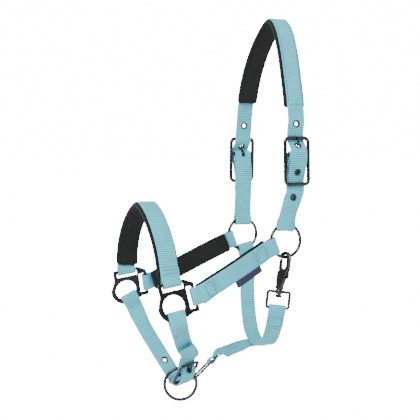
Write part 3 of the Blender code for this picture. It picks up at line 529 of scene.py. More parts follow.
CROWN_SHANK = (
    (2.7, 0.9),
    (5.0, 0.3),
    (7.5, 0.2),
    (9.2, 0.9),
    (11.6, 3.0),
    (13.6, 4.1),
    (17.0, 4.0),
    (TOP_REACH + 1.6, 3.6),
)
CHIN_SHANK = (
    (2.7, 0.6),
    (4.2, 0.3),
    (5.6, 0.8),
    (6.9, 2.1),
    (8.2, 3.6),
    (9.8, 4.6),
    (12.0, 4.3),
    (CHIN_TOP + 1.4, 3.4),
)


def bulge(loop, s):
    """How much further in than usual a strap's main layer lies, s along from an end loop's bar."""
    radius, straight, reach, _ = loop
    ease = min(1.0, max(0.0, (reach - s) / (reach - straight)))
    return (radius - LAYER) * ease * ease * (3 - 2 * ease)


SLOT_LOOP = 4.05
WIRE_LOOP = RING_WIRE + 2 * GAP + WEB / 2
BAR_LOOP = CENTRE_BAR_R + GAP + 0.15 + WEB / 2
RIM_LOOP = 3.6
NOSE_PAD_END = 7.5
CHEEK_PAD_ENDS = (8.0, 9.0)


def ring_loop(width, tail):
    """A loop over a round ring: long enough for the ring's curve across the strap."""
    return (WIRE_LOOP, drop(width), drop(width) + 10.0, tail)



# ---------------------------------------------------------------- fine meshes

RIB = 2.7
RIB_STEP = RIB / 5
RIB_HIGH = 0.26
RIB_EDGE = 0.28
WIRE_SIDES = 24
# How bright the floor and the sky look to the camera alone, so that both come out white.
BACKDROP = 16.0
PITCH = 3.1
EDGE_INSET = 1.6
SUNK = 0.1
TAIL_FACE = LAYER + WEB / 2 - SUNK
MAIN_FACE = -LAYER + WEB / 2 - SUNK
# The rings of one stitch: how far along it, how thick, and how high.
THREAD_BEAD = ((-0.5, 0.12, 0), (-0.36, 0.3, 0.7), (0, 0.34, 1), (0.36, 0.3, 0.7), (0.5, 0.12, 0))


def place_mesh(name, verts, faces, smooth=True, uvs=None):
    """A mesh object from vertices in layout millimetres, with its outside outwards."""
    mesh = bpy.data.meshes.new(name)
    mesh.from_pydata([tuple(v) for v in world(verts)], [], faces)
    if uvs is not None:
        layer = mesh.uv_layers.new(name="weave")
        loops = np.zeros(len(mesh.loops), int)
        mesh.loops.foreach_get("vertex_index", loops)
        layer.data.foreach_set("uv", np.asarray(uvs, float)[loops].ravel())
    tidy = bmesh.new()
    tidy.from_mesh(mesh)
    bmesh.ops.recalc_face_normals(tidy, faces=tidy.faces[:])
    tidy.to_mesh(mesh)
    tidy.free()
    if smooth:
        mesh.shade_smooth()
        mesh.set_sharp_from_angle(angle=0.9)
    made = bpy.data.objects.new(name, mesh)
    bpy.context.collection.objects.link(made)
    return made


def dress(made, look, node=None, body="halter"):
    """Gives a piece its surface, hides the CAD node it stands for and attaches it to the body it moves with.
    """
    made.data.materials.clear()
    made.data.materials.append(LOOKS[look])
    if node:
        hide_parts(node)
    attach(made, body)
    return made


def run_line(route, stations, out=0.0):
    """Evenly spaced places along a ribbon, with its width direction, its outward one and its length."""
    places = np.array([route.place(s, n + out) for s, n in stations])
    wides = np.array([route.frame(s)[1] for s, _ in stations])
    along = np.concatenate([[0], np.cumsum(np.linalg.norm(np.diff(places, axis=0), axis=1))])
    count = int(along[-1] / RIB_STEP) + 1
    even = np.linspace(0, along[-1], count)
    places = np.array([np.interp(even, along, places[:, k]) for k in range(3)]).T
    wides = np.array([np.interp(even, along, wides[:, k]) for k in range(3)]).T
    run = np.gradient(places, axis=0)
    wides -= run * ((wides * run).sum(1) / (run * run).sum(1))[:, None]
    wides /= np.linalg.norm(wides, axis=1)[:, None]
    normals = np.cross(wides, run / np.linalg.norm(run, axis=1)[:, None])
    return places, wides, normals, even


def section(half, thick):
    """A webbing section: flat faces with soft selvedges, as (across, up)."""
    edge = [(half, 0.0), (half - 0.12, 0.55), (half - 0.5, 0.9)]
    flat = [(a * half, 1.0) for a in (0.93, 0.6, 0.2, -0.2, -0.6, -0.93)]
    top = edge + flat + [(-a, u) for a, u in reversed(edge)]
    return [(a, u * thick / 2) for a, u in top + [(-a, -u) for a, u in top[1:-1]]]


def swept(name, places, wides, normals, even, outline_at):
    verts, uvs, faces = [], [], []
    for k in range(len(places)):
        outline = outline_at(k)
        for a, u in outline:
            verts.append(places[k] + wides[k] * a + normals[k] * u)
            uvs.append((a * MM, even[k] * MM))
    n = len(outline)
    for k in range(len(places) - 1):
        for i in range(n):
            a, b = n * k + i, n * k + (i + 1) % n
            faces.append((a, b, b + n, a + n))
    last = n * (len(places) - 1)
    faces += [tuple(range(n))[::-1], tuple(range(last, last + n))]
    return place_mesh(name, verts, faces, uvs=uvs)


def webbing(name, route, stations, width, cutters=()):
    """A ribbed strap, with holes and slots where cutters pass through it."""
    places, wides, normals, even = run_line(route, stations)

    def outline_at(k):
        rib = abs(np.sin(np.pi * even[k] / RIB)) ** 0.7
        grow, lift = RIB_EDGE * (rib - 0.6), RIB_HIGH * (rib - 1)
        return [
            (a + np.sign(a) * grow * (abs(a) > width * 0.46), u + np.sign(u) * lift)
            for a, u in section(width / 2, WEB)
        ]

    made = swept(name + "_webbing", places, wides, normals, even, outline_at)
    for cutter in cutters:
        step = made.modifiers.new("hole", "BOOLEAN")
        step.operation, step.solver, step.object = "DIFFERENCE", "EXACT", cutter
    if cutters:
        seen = made.evaluated_get(bpy.context.evaluated_depsgraph_get())
        made.data = bpy.data.meshes.new_from_object(seen)
        made.modifiers.clear()
        for cutter in cutters:
            bpy.data.objects.remove(cutter)
    dress(made, "webbing", name)
    return places, wides, normals


def level(s):
    return 0.0


def stitches(name, route, marks, out, look="thread", body="halter", long=2.4, high=0.55, dip=level):
    """Short thread bumps: each mark is (s, across, True if it runs across the strap)."""
    verts, faces = [], []
    for s, across, sideways in marks:
        t, w, n = route.frame(s)
        along, beside = (w, t) if sideways else (t, w)
        centre = route.place(s, out - dip(s)) + w * across
        up = n * np.sign(out if out else 1)
        first = len(verts)
        for f, r, lift in THREAD_BEAD:
            for a in np.radians(range(0, 360, 60)):
                ring = beside * r * np.cos(a) + up * (high * lift * 0.5 + r * 0.7 * np.sin(a))
                verts.append(centre + along * f * long + ring)
        for k in range(4):
            for i in range(6):
                a, b = first + 6 * k + i, first + 6 * k + (i + 1) % 6
                faces.append((a, b, b + 6, a + 6))
        faces += [tuple(range(first, first + 6))[::-1], tuple(range(first + 24, first + 30))]
    made = place_mesh(name, verts, faces)
    return dress(made, look, None, body)


def row_across(s, width, pitch=PITCH):
    count = int((width - 4) / pitch)
    return [(s, (i - (count - 1) / 2) * pitch, True) for i in range(count)]


def edge_rows(start, stop, width, inset=EDGE_INSET, pitch=PITCH):
    """A row up each edge."""
    out = []
    for s in np.arange(start, stop, pitch):
        out += [(s, width / 2 - inset, False), (s, inset - width / 2, False)]
    return out


def box_stitch(start, stop, width, pitch=PITCH):
    """A sewn box with two rows across and one up each edge."""
    out = row_across(start, width, pitch) + row_across(stop, width, pitch)
    return out + edge_rows(start + pitch, stop - pitch / 2, width, 2.4)


def lining(name, route, start, stop, width, out, corner, dip=level):
    """A foam lining with rounded ends and a sewn groove just inside its edge."""
    places, wides, normals, even = run_line(route, [(s, -dip(s)) for s in spread(start, stop, 1.5)], out)
    keep = slice(0, None, 2)
    places, wides, normals, even = places[keep], wides[keep], normals[keep], even[keep]
    cross = np.concatenate([np.linspace(-1, -0.7, 12), np.linspace(-0.66, 0.66, 9), np.linspace(0.7, 1, 12)])
    groove_at = 3.4

    def outline_at(k):
        end = min(even[k], even[-1] - even[k])
        half = width / 2
        if end < corner:
            half -= corner - (max(corner**2 - (corner - end) ** 2, 0.02)) ** 0.5
        shown = []
        for a in cross:
            inset = min((1 - abs(a)) * half, end + 0.3)
            roll = (1 - min(1, max(0, 1 - inset / 1.9)) ** 2.2) ** 0.5
            sewn = 0.95 * np.exp(-(((inset - groove_at) / 0.75) ** 2))
            shown.append((a * half, max(0.06, roll * PAD / 2 - sewn)))
        upper = [(a, min(u, PAD / 2 - 0.05)) for a, u in reversed(shown)]
        return upper + [(a, -u) for a, u in shown]

    made = swept(name + "_foam", places, wides, normals, even, outline_at)
    dress(made, "neoprene", name)
    marks = edge_rows(start + groove_at, stop - groove_at + 0.1, width, groove_at, 3.0)
    for s in (start + groove_at, stop - groove_at):
        marks += row_across(s, width - 2 * groove_at + 2, 3.0)
    stitches(name + "_seam", route, marks, out - PAD / 2 + 1.0, "black_thread", long=2.0, high=0.3, dip=dip)
    return made


def wire(name, centre, axes, radius, line, closed=True, flat=1.0, sides=WIRE_SIDES):
    """A round wire along points in a local frame. flat scales it along the third axis."""
    basis = np.array([unit(a) for a in axes])
    points = np.array([np.asarray(centre) + np.asarray(p) @ basis for p in line])
    run = np.roll(points, -1, 0) - np.roll(points, 1, 0) if closed else np.gradient(points, axis=0)
    verts, faces, count = [], [], len(points)
    for k in range(count):
        side = unit(np.cross(basis[2], run[k]))
        top = np.cross(unit(run[k]), side)
        for a in np.arange(sides) * 2 * np.pi / sides:
            verts.append(points[k] + radius * np.cos(a) * side + radius * flat * np.sin(a) * top)
    for k in range(count if closed else count - 1):
        m = (k + 1) % count
        for i in range(sides):
            j = (i + 1) % sides
            faces.append((k * sides + i, k * sides + j, m * sides + j, m * sides + i))
    if not closed:
        faces += [tuple(range(sides))[::-1], tuple(range((count - 1) * sides, count * sides))]
    return place_mesh(name, verts, faces)


def turned(name, profile, centre, axis, sides=48):
    """A turned ring from a closed (radius, height) profile."""
    z = unit(axis)
    x = unit(np.cross(z, (0.31, 0.17, 0.93)))
    y = np.cross(z, x)
    verts, faces, n = [], [], len(profile)
    for k in range(sides):
        a = 2 * np.pi * k / sides
        verts += [np.asarray(centre) + r * (np.cos(a) * x + np.sin(a) * y) + h * z for r, h in profile]
        for i in range(n):
            j, m = (i + 1) % n, (k + 1) % sides
            faces.append((k * n + i, k * n + j, m * n + j, m * n + i))
    return place_mesh(name, verts, faces)


def joined(name, pieces):
    """Several meshes as one object."""
    whole = bmesh.new()
    for piece in pieces:
        whole.from_mesh(piece.data)
        bpy.data.objects.remove(piece)
    mesh = bpy.data.meshes.new(name)
    whole.to_mesh(mesh)
    whole.free()
    made = bpy.data.objects.new(name, mesh)
    bpy.context.collection.objects.link(made)
    return made


def plug(centre, axis, radius, length, sides=36):
    """A round cutter."""
    z = unit(axis)
    x = unit(np.cross(z, (0.31, 0.17, 0.93)))
    y = np.cross(z, x)
    turn = [2 * np.pi * k / sides for k in range(sides)]
    verts = [
        np.asarray(centre) + radius * (np.cos(a) * x + np.sin(a) * y) + h * z
        for h in (-length / 2, length / 2)
        for a in turn
    ]
    faces = [tuple(range(sides))[::-1], tuple(range(sides, 2 * sides))]
    faces += [(i, (i + 1) % sides, sides + (i + 1) % sides, sides + i) for i in range(sides)]
    return place_mesh("cutter", verts, faces, smooth=False)


def block(centre, axes, sizes):
    """A box-shaped cutter."""
    basis = np.array([unit(a) for a in axes])
    square = ((-0.5, -0.5), (0.5, -0.5), (0.5, 0.5), (-0.5, 0.5))
    corners = [(x, y, z) for z in (-0.5, 0.5) for x, y in square]
    verts = [np.asarray(centre) + (np.array(c) * sizes) @ basis for c in corners]
    faces = [(0, 3, 2, 1), (4, 5, 6, 7), (0, 1, 5, 4), (1, 2, 6, 5), (2, 3, 7, 6), (3, 0, 4, 7)]
    return place_mesh("cutter", verts, faces, smooth=False)


def cast(name, outlines, centre, axes, thick, edge):
    """A flat casting with holes and rounded edges, from closed outlines in its face."""
    curve = bpy.data.curves.new(name, "CURVE")
    curve.dimensions, curve.fill_mode = "2D", "BOTH"
    curve.extrude, curve.bevel_depth, curve.bevel_resolution, curve.offset = thick / 2 - edge, edge, 3, -edge
    for outline in outlines:
        line = curve.splines.new("POLY")
        line.points.add(len(outline) - 1)
        for point, p in zip(line.points, outline):
            point.co = (p[0], p[1], 0, 1)
        line.use_cyclic_u = True
    holder = bpy.data.objects.new(name, curve)
    bpy.context.collection.objects.link(holder)
    bpy.context.view_layer.update()
    mesh = bpy.data.meshes.new_from_object(holder.evaluated_get(bpy.context.evaluated_depsgraph_get()))
    bpy.data.objects.remove(holder)
    right, up = unit(axes[0]), unit(axes[1])
    basis = np.array([right, up, np.cross(right, up)])
    local = np.zeros(len(mesh.vertices) * 3)
    mesh.vertices.foreach_get("co", local)
    mesh.vertices.foreach_set("co", world(np.asarray(centre) + local.reshape(-1, 3) @ basis).ravel())
    clean = bmesh.new()
    clean.from_mesh(mesh)
    bmesh.ops.remove_doubles(clean, verts=clean.verts[:], dist=1e-6)
    bmesh.ops.recalc_face_normals(clean, faces=clean.faces[:])
    clean.to_mesh(mesh)
    clean.free()
    mesh.shade_smooth()
    mesh.set_sharp_from_angle(angle=0.75)
    made = bpy.data.objects.new(name, mesh)
    bpy.context.collection.objects.link(made)
    return made


# ---------------------------------------------------------------- surfaces


def surface(name, colour, rough, metal=0.0, sheen=0.0):
    made = bpy.data.materials.new(name)
    made.use_nodes = True
    shader = made.node_tree.nodes["Principled BSDF"]
    shader.inputs["Base Color"].default_value = (*colour, 1)
    shader.inputs["Roughness"].default_value = rough
    shader.inputs["Metallic"].default_value = metal
    shader.inputs["Sheen Weight"].default_value = sheen
    shader.inputs["Sheen Roughness"].default_value = 0.4
    return made, made.node_tree, shader


def node(tree, kind, **values):
    made = tree.nodes.new(kind)
    for key, value in values.items():
        if key in made.inputs:
            made.inputs[key].default_value = value
        else:
            setattr(made, key, value)
    return made


def maths(tree, operation, a, b=0.0):
    made = tree.nodes.new("ShaderNodeMath")
    made.operation = operation
    for slot_, value in zip(made.inputs, (a, b)):
        if isinstance(value, (int, float)):
            slot_.default_value = value
        else:
            tree.links.new(value, slot_)
    return made.outputs[0]


def tint(tree, factor, dark, light, low=0.0, high=1.0):
    ramp = tree.nodes.new("ShaderNodeValToRGB")
    ramp.color_ramp.elements[0].position, ramp.color_ramp.elements[1].position = low, high
    ramp.color_ramp.elements[0].color, ramp.color_ramp.elements[1].color = (*dark, 1), (*light, 1)
    tree.links.new(factor, ramp.inputs[0])
    return ramp.outputs[0]


def place_in_object(tree, *textures):
    place = tree.nodes.new("ShaderNodeTexCoord")
    for texture in textures:
        tree.links.new(place.outputs["Object"], texture.inputs["Vector"])


def relief(tree, shader, height, strength, distance):
    bump = node(tree, "ShaderNodeBump", Strength=strength, Distance=distance)
    tree.links.new(height, bump.inputs["Height"])
    tree.links.new(bump.outputs[0], shader.inputs["Normal"])
    return bump


def webbing_look():
    """Aqua nylon: weft ribs, fine warp yarns in alternate rows, uneven wear, a soft sheen and painted shade
    in the grooves between ribs and yarns.
    """
    made, tree, shader = surface("webbing", (0.13, 0.45, 0.52), 0.62, sheen=0.2)
    uv = node(tree, "ShaderNodeUVMap", uv_map="weave")
    split = tree.nodes.new("ShaderNodeSeparateXYZ")
    tree.links.new(uv.outputs[0], split.inputs[0])
    across = maths(tree, "MULTIPLY", split.outputs[0], 1000)
    along = maths(tree, "MULTIPLY", split.outputs[1], 1000)
    row = maths(tree, "FLOOR", maths(tree, "DIVIDE", along, RIB))
    shift = maths(tree, "MULTIPLY", maths(tree, "MODULO", row, 2.0), 0.5)
    yarn = maths(tree, "ADD", maths(tree, "DIVIDE", across, 0.92), shift)
    yarn = maths(tree, "ABSOLUTE", maths(tree, "SINE", maths(tree, "MULTIPLY", yarn, np.pi)))
    rib = maths(tree, "ABSOLUTE", maths(tree, "SINE", maths(tree, "MULTIPLY", along, np.pi / RIB)))
    rib = maths(tree, "POWER", rib, 0.6)
    fibre = node(tree, "ShaderNodeTexNoise", Scale=2600.0, Detail=3.0)
    wear = node(tree, "ShaderNodeTexNoise", Scale=38.0, Detail=4.0)
    place_in_object(tree, fibre, wear)
    height = maths(tree, "ADD", maths(tree, "MULTIPLY", yarn, 0.55), maths(tree, "MULTIPLY", rib, 0.8))
    height = maths(tree, "ADD", height, maths(tree, "MULTIPLY", fibre.outputs[0], 0.35))
    relief(tree, shader, height, 0.8, 0.00025)
    # Painted shade: the colour darkens in the grooves between the ribs and between the yarns, where the
    # surface sinks; the wear noise then adds uneven tone.
    groove_shade_and_wear = maths(tree, "MULTIPLY", maths(tree, "ADD", maths(tree, "MULTIPLY", rib, 0.7), 0.3), 0.8)
    groove_shade_and_wear = maths(tree, "ADD", groove_shade_and_wear, maths(tree, "MULTIPLY", yarn, 0.12))
    worn = maths(tree, "MULTIPLY", maths(tree, "SUBTRACT", wear.outputs[0], 0.5), 0.35)
    groove_shade_and_wear = maths(tree, "ADD", groove_shade_and_wear, worn)
    # The dark end of this ramp is the painted shade in the grooves.
    colour = tint(tree, groove_shade_and_wear, (0.003, 0.07, 0.11), (0.075, 0.6, 0.74), 0.26, 0.8)
    tree.links.new(colour, shader.inputs["Base Color"])
    rough = maths(tree, "ADD", maths(tree, "MULTIPLY", wear.outputs[0], 0.2), 0.48)
    tree.links.new(rough, shader.inputs["Roughness"])
    return made


def cloth_look(name, dark, light, pitch, rough, sheen):
    """A fine cloth face: small cells with a grain over them, in a colour that varies slowly."""
    made, tree, shader = surface(name, light, rough, sheen=sheen)
    grain = node(tree, "ShaderNodeTexNoise", Scale=1100.0 / pitch, Detail=2.0)
    cloud = node(tree, "ShaderNodeTexNoise", Scale=45.0, Detail=4.0)
    cells = node(tree, "ShaderNodeTexVoronoi", Scale=1000.0 / pitch)
    place_in_object(tree, grain, cloud, cells)
    height = maths(tree, "ADD", maths(tree, "MULTIPLY", grain.outputs[0], 0.6), cells.outputs["Distance"])
    relief(tree, shader, height, 0.5, 0.00015)
    tree.links.new(tint(tree, cloud.outputs[0], dark, light, 0.3, 0.7), shader.inputs["Base Color"])
    return made


def metal_look(name, dark, light, low, high, rise, size):
    """Plated metal: faint handling smudges, a little unevenness and softened edges."""
    made, tree, shader = surface(name, light, low, metal=1.0)
    smudge = node(tree, "ShaderNodeTexNoise", Scale=140.0, Detail=6.0)
    fine = node(tree, "ShaderNodeTexNoise", Scale=size, Detail=3.0)
    place_in_object(tree, smudge, fine)
    rough = maths(tree, "ADD", maths(tree, "MULTIPLY", smudge.outputs[0], high - low), low)
    tree.links.new(rough, shader.inputs["Roughness"])
    tree.links.new(tint(tree, smudge.outputs[0], dark, light, 0.3, 0.7), shader.inputs["Base Color"])
    soft = node(tree, "ShaderNodeBevel", Radius=0.0005)
    bump = relief(tree, shader, fine.outputs[0], rise, 0.0001)
    tree.links.new(soft.outputs[0], bump.inputs["Normal"])
    return made


LOOKS = {
    "webbing": webbing_look(),
    "neoprene": cloth_look("neoprene", (0.001, 0.001, 0.0012), (0.003, 0.003, 0.0035), 0.9, 0.9, 0.0),
    "thread": cloth_look("thread", (0.006, 0.05, 0.07), (0.02, 0.1, 0.13), 0.5, 0.6, 0.2),
    "black_thread": cloth_look("black_thread", (0.012, 0.012, 0.013), (0.03, 0.03, 0.032), 0.5, 0.6, 0.3),
    "metal": metal_look("metal", (0.045, 0.044, 0.046), (0.09, 0.088, 0.092), 0.1, 0.22, 0.12, 900.0),
    "casting": metal_look("casting", (0.025, 0.025, 0.027), (0.045, 0.045, 0.047), 0.24, 0.42, 0.3, 1500.0),
    "label": cloth_look("label", (0.004, 0.008, 0.04), (0.009, 0.014, 0.065), 0.6, 0.7, 0.15),
}


# ---------------------------------------------------------------- the pieces

LOOP_STEP = 1.2
LOOP_TURNS = 12
BUCKLE_WIRE = 4.9
BUCKLE_THICK = 4.2


def eyelet(node_name, centre, axis):
    """A rolled eyelet with a rounded lip on each face of the strap."""
    half = WEB / 2 + 0.1
    rim, bore = EYELET_FLANGE, EYELET_BORE
    lip = [(rim, 0.0), (rim - 0.15, 0.35), (rim - 0.6, 0.62)]
    lip += [(rim - 1.3, 0.62), (bore + 0.3, 0.35), (bore, -0.2)]
    profile = [(r, half + h) for r, h in lip] + [(r, -half - h) for r, h in reversed(lip)]
    profile += [(rim - 0.6, -half), (bore + 0.5, -half), (bore + 0.5, half), (rim - 0.6, half)]
    dress(turned(node_name + "_fine", profile, centre, axis), "metal", node_name)


def crown():
    route = crown_route()
    cutters = []
    for side, label in ((1, "near"), (-1, "far")):
        axes = buckle_frame_axes(side)
        bar = mirrored(CENTRE_BAR, side)
        tongue_hole = nearest(route, buckle_point(bar, axes, TONGUE_HOLE, 2.1))
        marks = [(74.4, 6.0, 148.5), (78, 6, 88.0), (72, 1, 56.5)]
        holes = [nearest(route, mirrored(mark, side)) for mark in marks]
        holes.insert(1, tongue_hole)
        for number, s in enumerate(holes, 1):
            centre, normal = route.place(s, 0), route.frame(s)[2]
            eyelet(f"{label}_crown_eyelet_{number}", centre, normal)
            cutters.append(plug(centre, normal, EYELET_BORE + 0.6, 8.0))
    webbing("crown_strap", route, [(s, 0.0) for s in spread(0, route.length, LOOP_STEP)], WEB_WIDE, cutters)
    start, stop = (nearest(route, (side * 69.5, 8.4, CROWN_PAD_ENDS[side])) for side in (1, -1))
    lining("crown_pad", route, start, stop, WEB_WIDE + 2 * PAD_MARGIN, -(WEB / 2 + GAP + PAD / 2), 4.0)
    marks = row_across(start + 3.2, WEB_WIDE) + row_across(stop - 3.2, WEB_WIDE)
    marks += edge_rows(start + 6, stop - 6, WEB_WIDE)
    stitches("crown_seams", route, marks, WEB / 2 - 0.1)


def buckle_frame(node_name, centre, axes, size, bar, thick, bar_up, corner):
    """A rounded frame with a round centre bar."""
    frame_axes = (axes[1], axes[0], axes[2])
    line = rounded_rectangle(size[0] - bar, size[1] - bar, corner, 12)
    rim = wire("rim", centre, frame_axes, bar / 2, line, flat=thick / bar)
    across = (size[0] - bar) / 2
    rod = [(x, bar_up, 0) for x in np.linspace(-across, across, 5)]
    rod = wire("rod", centre, frame_axes, CENTRE_BAR_R, rod, closed=False)
    dress(joined(node_name + "_fine", [rim, rod]), "metal", node_name)


def tongue(node_name, bar, axes, bar_r, shank, body, width=3.0):
    inner, outer = bar_r + GAP, bar_r + GAP + 1.3
    hub = [(inner, -width / 2), (outer - 0.3, -width / 2), (outer, 0.3 - width / 2), (outer, width / 2 - 0.3)]
    hub += [(outer - 0.3, width / 2), (inner, width / 2)]
    fine = []
    for (a0, n0), (a1, n1) in zip(shank[:-1], shank[1:]):
        fine += [(a0 + (a1 - a0) * f, n0 + (n1 - n0) * f, 0) for f in (0, 0.34, 0.67)]
    fine = np.array(fine + [(*shank[-1], 0)])
    for _ in range(3):
        fine[1:-1] = (fine[:-2] + fine[1:-1] + fine[2:]) / 3
    pieces = [
        turned("hub", hub, bar, axes[1]),
        wire("shank", bar, (axes[0], axes[2], axes[1]), TONGUE_R, fine, closed=False, sides=18),
    ]
    dress(joined(node_name + "_fine", pieces), "metal", node_name, body)


def crown_buckle(side, label):
    axes = buckle_frame_axes(side)
    centre, bar = mirrored(BUCKLE, side), mirrored(CENTRE_BAR, side)
    shape = (BUCKLE_SIZE, BUCKLE_WIRE, BUCKLE_THICK, CENTRE_BAR_UP, BUCKLE_CORNER - 2.4)
    buckle_frame(f"{label}_crown_buckle_frame", centre, axes, *shape)
    tongue(f"{label}_crown_buckle_tongue", bar, axes, CENTRE_BAR_R, CROWN_SHANK, f"{label}_tongue")
    route = buckle_strap_route(side)
    half = route.length / 2
    loops = (BAR_LOOP, 0, 14.0, half - 1.0), ring_loop(WEB_WIDE, half - 1.0)
    stations = looped(route, *loops, LOOP_STEP, LOOP_TURNS)
    cutter = block(bar, (axes[0], axes[2], axes[1]), (10.4, 10.4, 5.0))
    webbing(f"{label}_crown_buckle_strap", route, stations, WEB_WIDE, [cutter])
    marks = box_stitch(15.0, 23.0, WEB_WIDE) + box_stitch(route.length - 24.0, route.length - 13.0, WEB_WIDE)
    stitches(f"{label}_buckle_strap_seams", route, marks, TAIL_FACE)


def ring(node_name, centre, axes, radius, major, body):
    line = circle(major, 128)
    dress(wire(node_name + "_fine", centre, axes, radius, line), "metal", node_name, body)


def cheek(side, label):
    ring_axes = ((0, 1, 0), (0, 0, 1), (1, 0, 0))
    body = f"{label}_ring"
    ring(f"{label}_cheek_ring", ring_centre(side), ring_axes, RING_WIRE, RING_MAJOR, body)
    route = cheek_route(side)
    front, back = (SLOT_LOOP, 1.2, 9.0, 30.0), ring_loop(WEB_SLIM, 34.0)
    webbing(f"{label}_cheek_strap", route, looped(route, front, back, LOOP_STEP, LOOP_TURNS), WEB_SLIM)

    def dip(s):
        return bulge(front, s) + bulge(back, route.length - s)

    start, stop = CHEEK_PAD_ENDS[0], route.length - CHEEK_PAD_ENDS[1]
    wide, out = WEB_SLIM + 2 * CHEEK_PAD_MARGIN, -PAD_DEPTH - 1.6 * GAP
    lining(f"{label}_cheek_pad", route, start, stop, wide, out, 3.0, dip)
    marks = box_stitch(17.0, 28.0, WEB_SLIM) + box_stitch(route.length - 32.0, route.length - 17.0, WEB_SLIM)
    stitches(f"{label}_cheek_seams", route, marks, TAIL_FACE)
    marks = edge_rows(33.0, route.length - 37.0, WEB_SLIM)
    stitches(f"{label}_cheek_edges", route, marks, MAIN_FACE)


def arc(cx, cy, radius, start, stop, count):
    angles = np.radians(np.linspace(start, stop, count))
    return [(cx + radius * np.cos(a), cy + radius * np.sin(a), 0) for a in angles]


def side_plate(side, label):
    rear, up, _ = plate_axes(side)
    half_slot, arm = SLOT_LENGTH / 2, 4.4
    rear_x, rear_y = REAR_BAR
    top_x, top_y = TOP_BAR
    wall = PLATE_HOLE + 6.0
    left, right = top_x - half_slot - arm, top_x + half_slot + arm
    low, high = rear_y - half_slot - arm, rear_y + half_slot + arm
    outline = [
        (left, 14.0, 0),
        *arc(0, 0, wall, 180, 300, 49),
        (rear_x - 6.0, low, 0),
        *arc(rear_x + SLOT_BAR / 2 - 2.4, low + 2.4, 2.4, 270, 360, 8),
        *arc(rear_x + SLOT_BAR / 2 - 2.4, high - 2.4, 2.4, 0, 48, 6),
        *arc(right - 2.9, top_y + SLOT_BAR / 2 - 2.4, 2.4, 48, 90, 6),
        *arc(left + 2.4, top_y + SLOT_BAR / 2 - 2.4, 2.4, 90, 180, 8),
    ]
    hole = circle(PLATE_HOLE, 72)
    top_low, top_high = 18.7, top_y - SLOT_BAR / 2
    middle = (top_x, (top_low + top_high) / 2)
    top_slot = rounded_rectangle(SLOT_LENGTH, top_high - top_low, 1.2, 6, centre=middle)
    front, back = 19.5, rear_x - SLOT_BAR / 2
    rear_slot = rounded_rectangle(back - front, SLOT_LENGTH, 1.2, 6, centre=((front + back) / 2, rear_y))
    outlines = [outline, hole, top_slot, rear_slot]
    centre = mirrored(PLATE, side)
    made = cast(f"{label}_plate_fine", outlines, centre, (rear, up), PLATE_T, 0.8)
    dress(made, "casting", f"{label}_side_plate")


def noseband():
    route = nose_route()
    loop = (SLOT_LOOP, 1.2, 9.0, 19.0)
    webbing("noseband_strap", route, looped(route, loop, loop, LOOP_STEP, LOOP_TURNS), WEB_WIDE)

    def dip(s):
        return bulge(loop, s) + bulge(loop, route.length - s)

    start, stop = NOSE_PAD_END, route.length - NOSE_PAD_END
    wide, out = WEB_WIDE + 2 * PAD_MARGIN, -PAD_DEPTH - 1.5 * GAP
    lining("noseband_pad", route, start, stop, wide, out, 4.0, dip)
    marks = []
    for s in (17.0, 12.5, route.length - 17.0, route.length - 12.5):
        marks += row_across(s, WEB_WIDE)
    stitches("noseband_ends", route, marks, TAIL_FACE)
    marks = edge_rows(22.0, route.length - 22.0, WEB_WIDE)
    stitches("noseband_edges", route, marks, MAIN_FACE)


def chin():
    loop = (RIM_LOOP, 11.5, 22.0, 34.0)
    bar_loop = (BAR_LOOP, 0, 11.0, 40.0)
    near, far = near_chin_route(), far_chin_route()
    cutter = block(CHIN_BUCKLE, (CHIN_LONG, CHIN_OUT, CHIN_WIDE), (18.0, 18.0, 5.0))
    webbing("near_chin_strap", near, looped(near, loop, bar_loop, LOOP_STEP, LOOP_TURNS), WEB_SLIM, [cutter])
    marks = (
        nearest(far, (-33.0, -132.5, -163.0)),
        nearest(far, buckle_point(CHIN_BUCKLE, CHIN_AXES, CHIN_HOLE + 0.8, 3.0)),
    )
    cutters = []
    for number, s in enumerate(marks, 1):
        centre, normal = far.place(s, -LAYER), far.frame(s)[2]
        eyelet(f"chin_eyelet_{number}", centre, normal)
        cutters.append(plug(centre, normal, EYELET_BORE + 0.6, 8.0))
    webbing("far_chin_strap", far, looped(far, loop, None, LOOP_STEP, LOOP_TURNS), WEB_SLIM, cutters)
    seams = box_stitch(23.0, 31.0, WEB_SLIM)
    stitches("near_chin_seams", near, seams, TAIL_FACE)
    stitches("far_chin_seams", far, seams, TAIL_FACE)
    bar = CHIN_BUCKLE_BAR
    buckle_frame("chin_buckle_frame", CHIN_BUCKLE, CHIN_AXES, CHIN_BUCKLE_SIZE, bar, bar, 0.0, 5.5 - bar / 2)
    tongue("chin_buckle_tongue", CHIN_BUCKLE, CHIN_AXES, CENTRE_BAR_R, CHIN_SHANK, "chin_tongue")
    ring("lead_ring", LEAD_CENTRE, LEAD_AXES, LEAD_WIRE, LEAD_MAJOR, "lead_ring")
    oval = rounded_rectangle(*LINK_SIZE, LINK_CORNER, 12)
    dress(wire("chin_link_fine", LINK_CENTRE, LINK_AXES, LINK_WIRE, oval), "metal", "chin_link")


def throat():
    route = throat_route()
    eye_loop = (EYE_WIRE + GAP + WEB / 2 + 0.1, 0, 12.0, 30.0)
    stations = looped(route, ring_loop(WEB_SLIM, 34.0), eye_loop, LOOP_STEP, LOOP_TURNS)
    webbing("throat_strap", route, stations, WEB_SLIM)
    marks = box_stitch(17.0, 32.0, WEB_SLIM) + box_stitch(route.length - 28.5, route.length - 14.0, WEB_SLIM)
    stitches("throat_seams", route, marks, TAIL_FACE)
    route = connecting_route()
    link_loop = (LINK_WIRE + 2 * GAP + WEB / 2 + 0.1, 0, 11.0, 14.0)
    webbing("connecting_strap", route, looped(route, link_loop, None, LOOP_STEP, LOOP_TURNS), 19.5)
    stitches("connecting_seams", route, row_across(12.4, 19.5), TAIL_FACE)


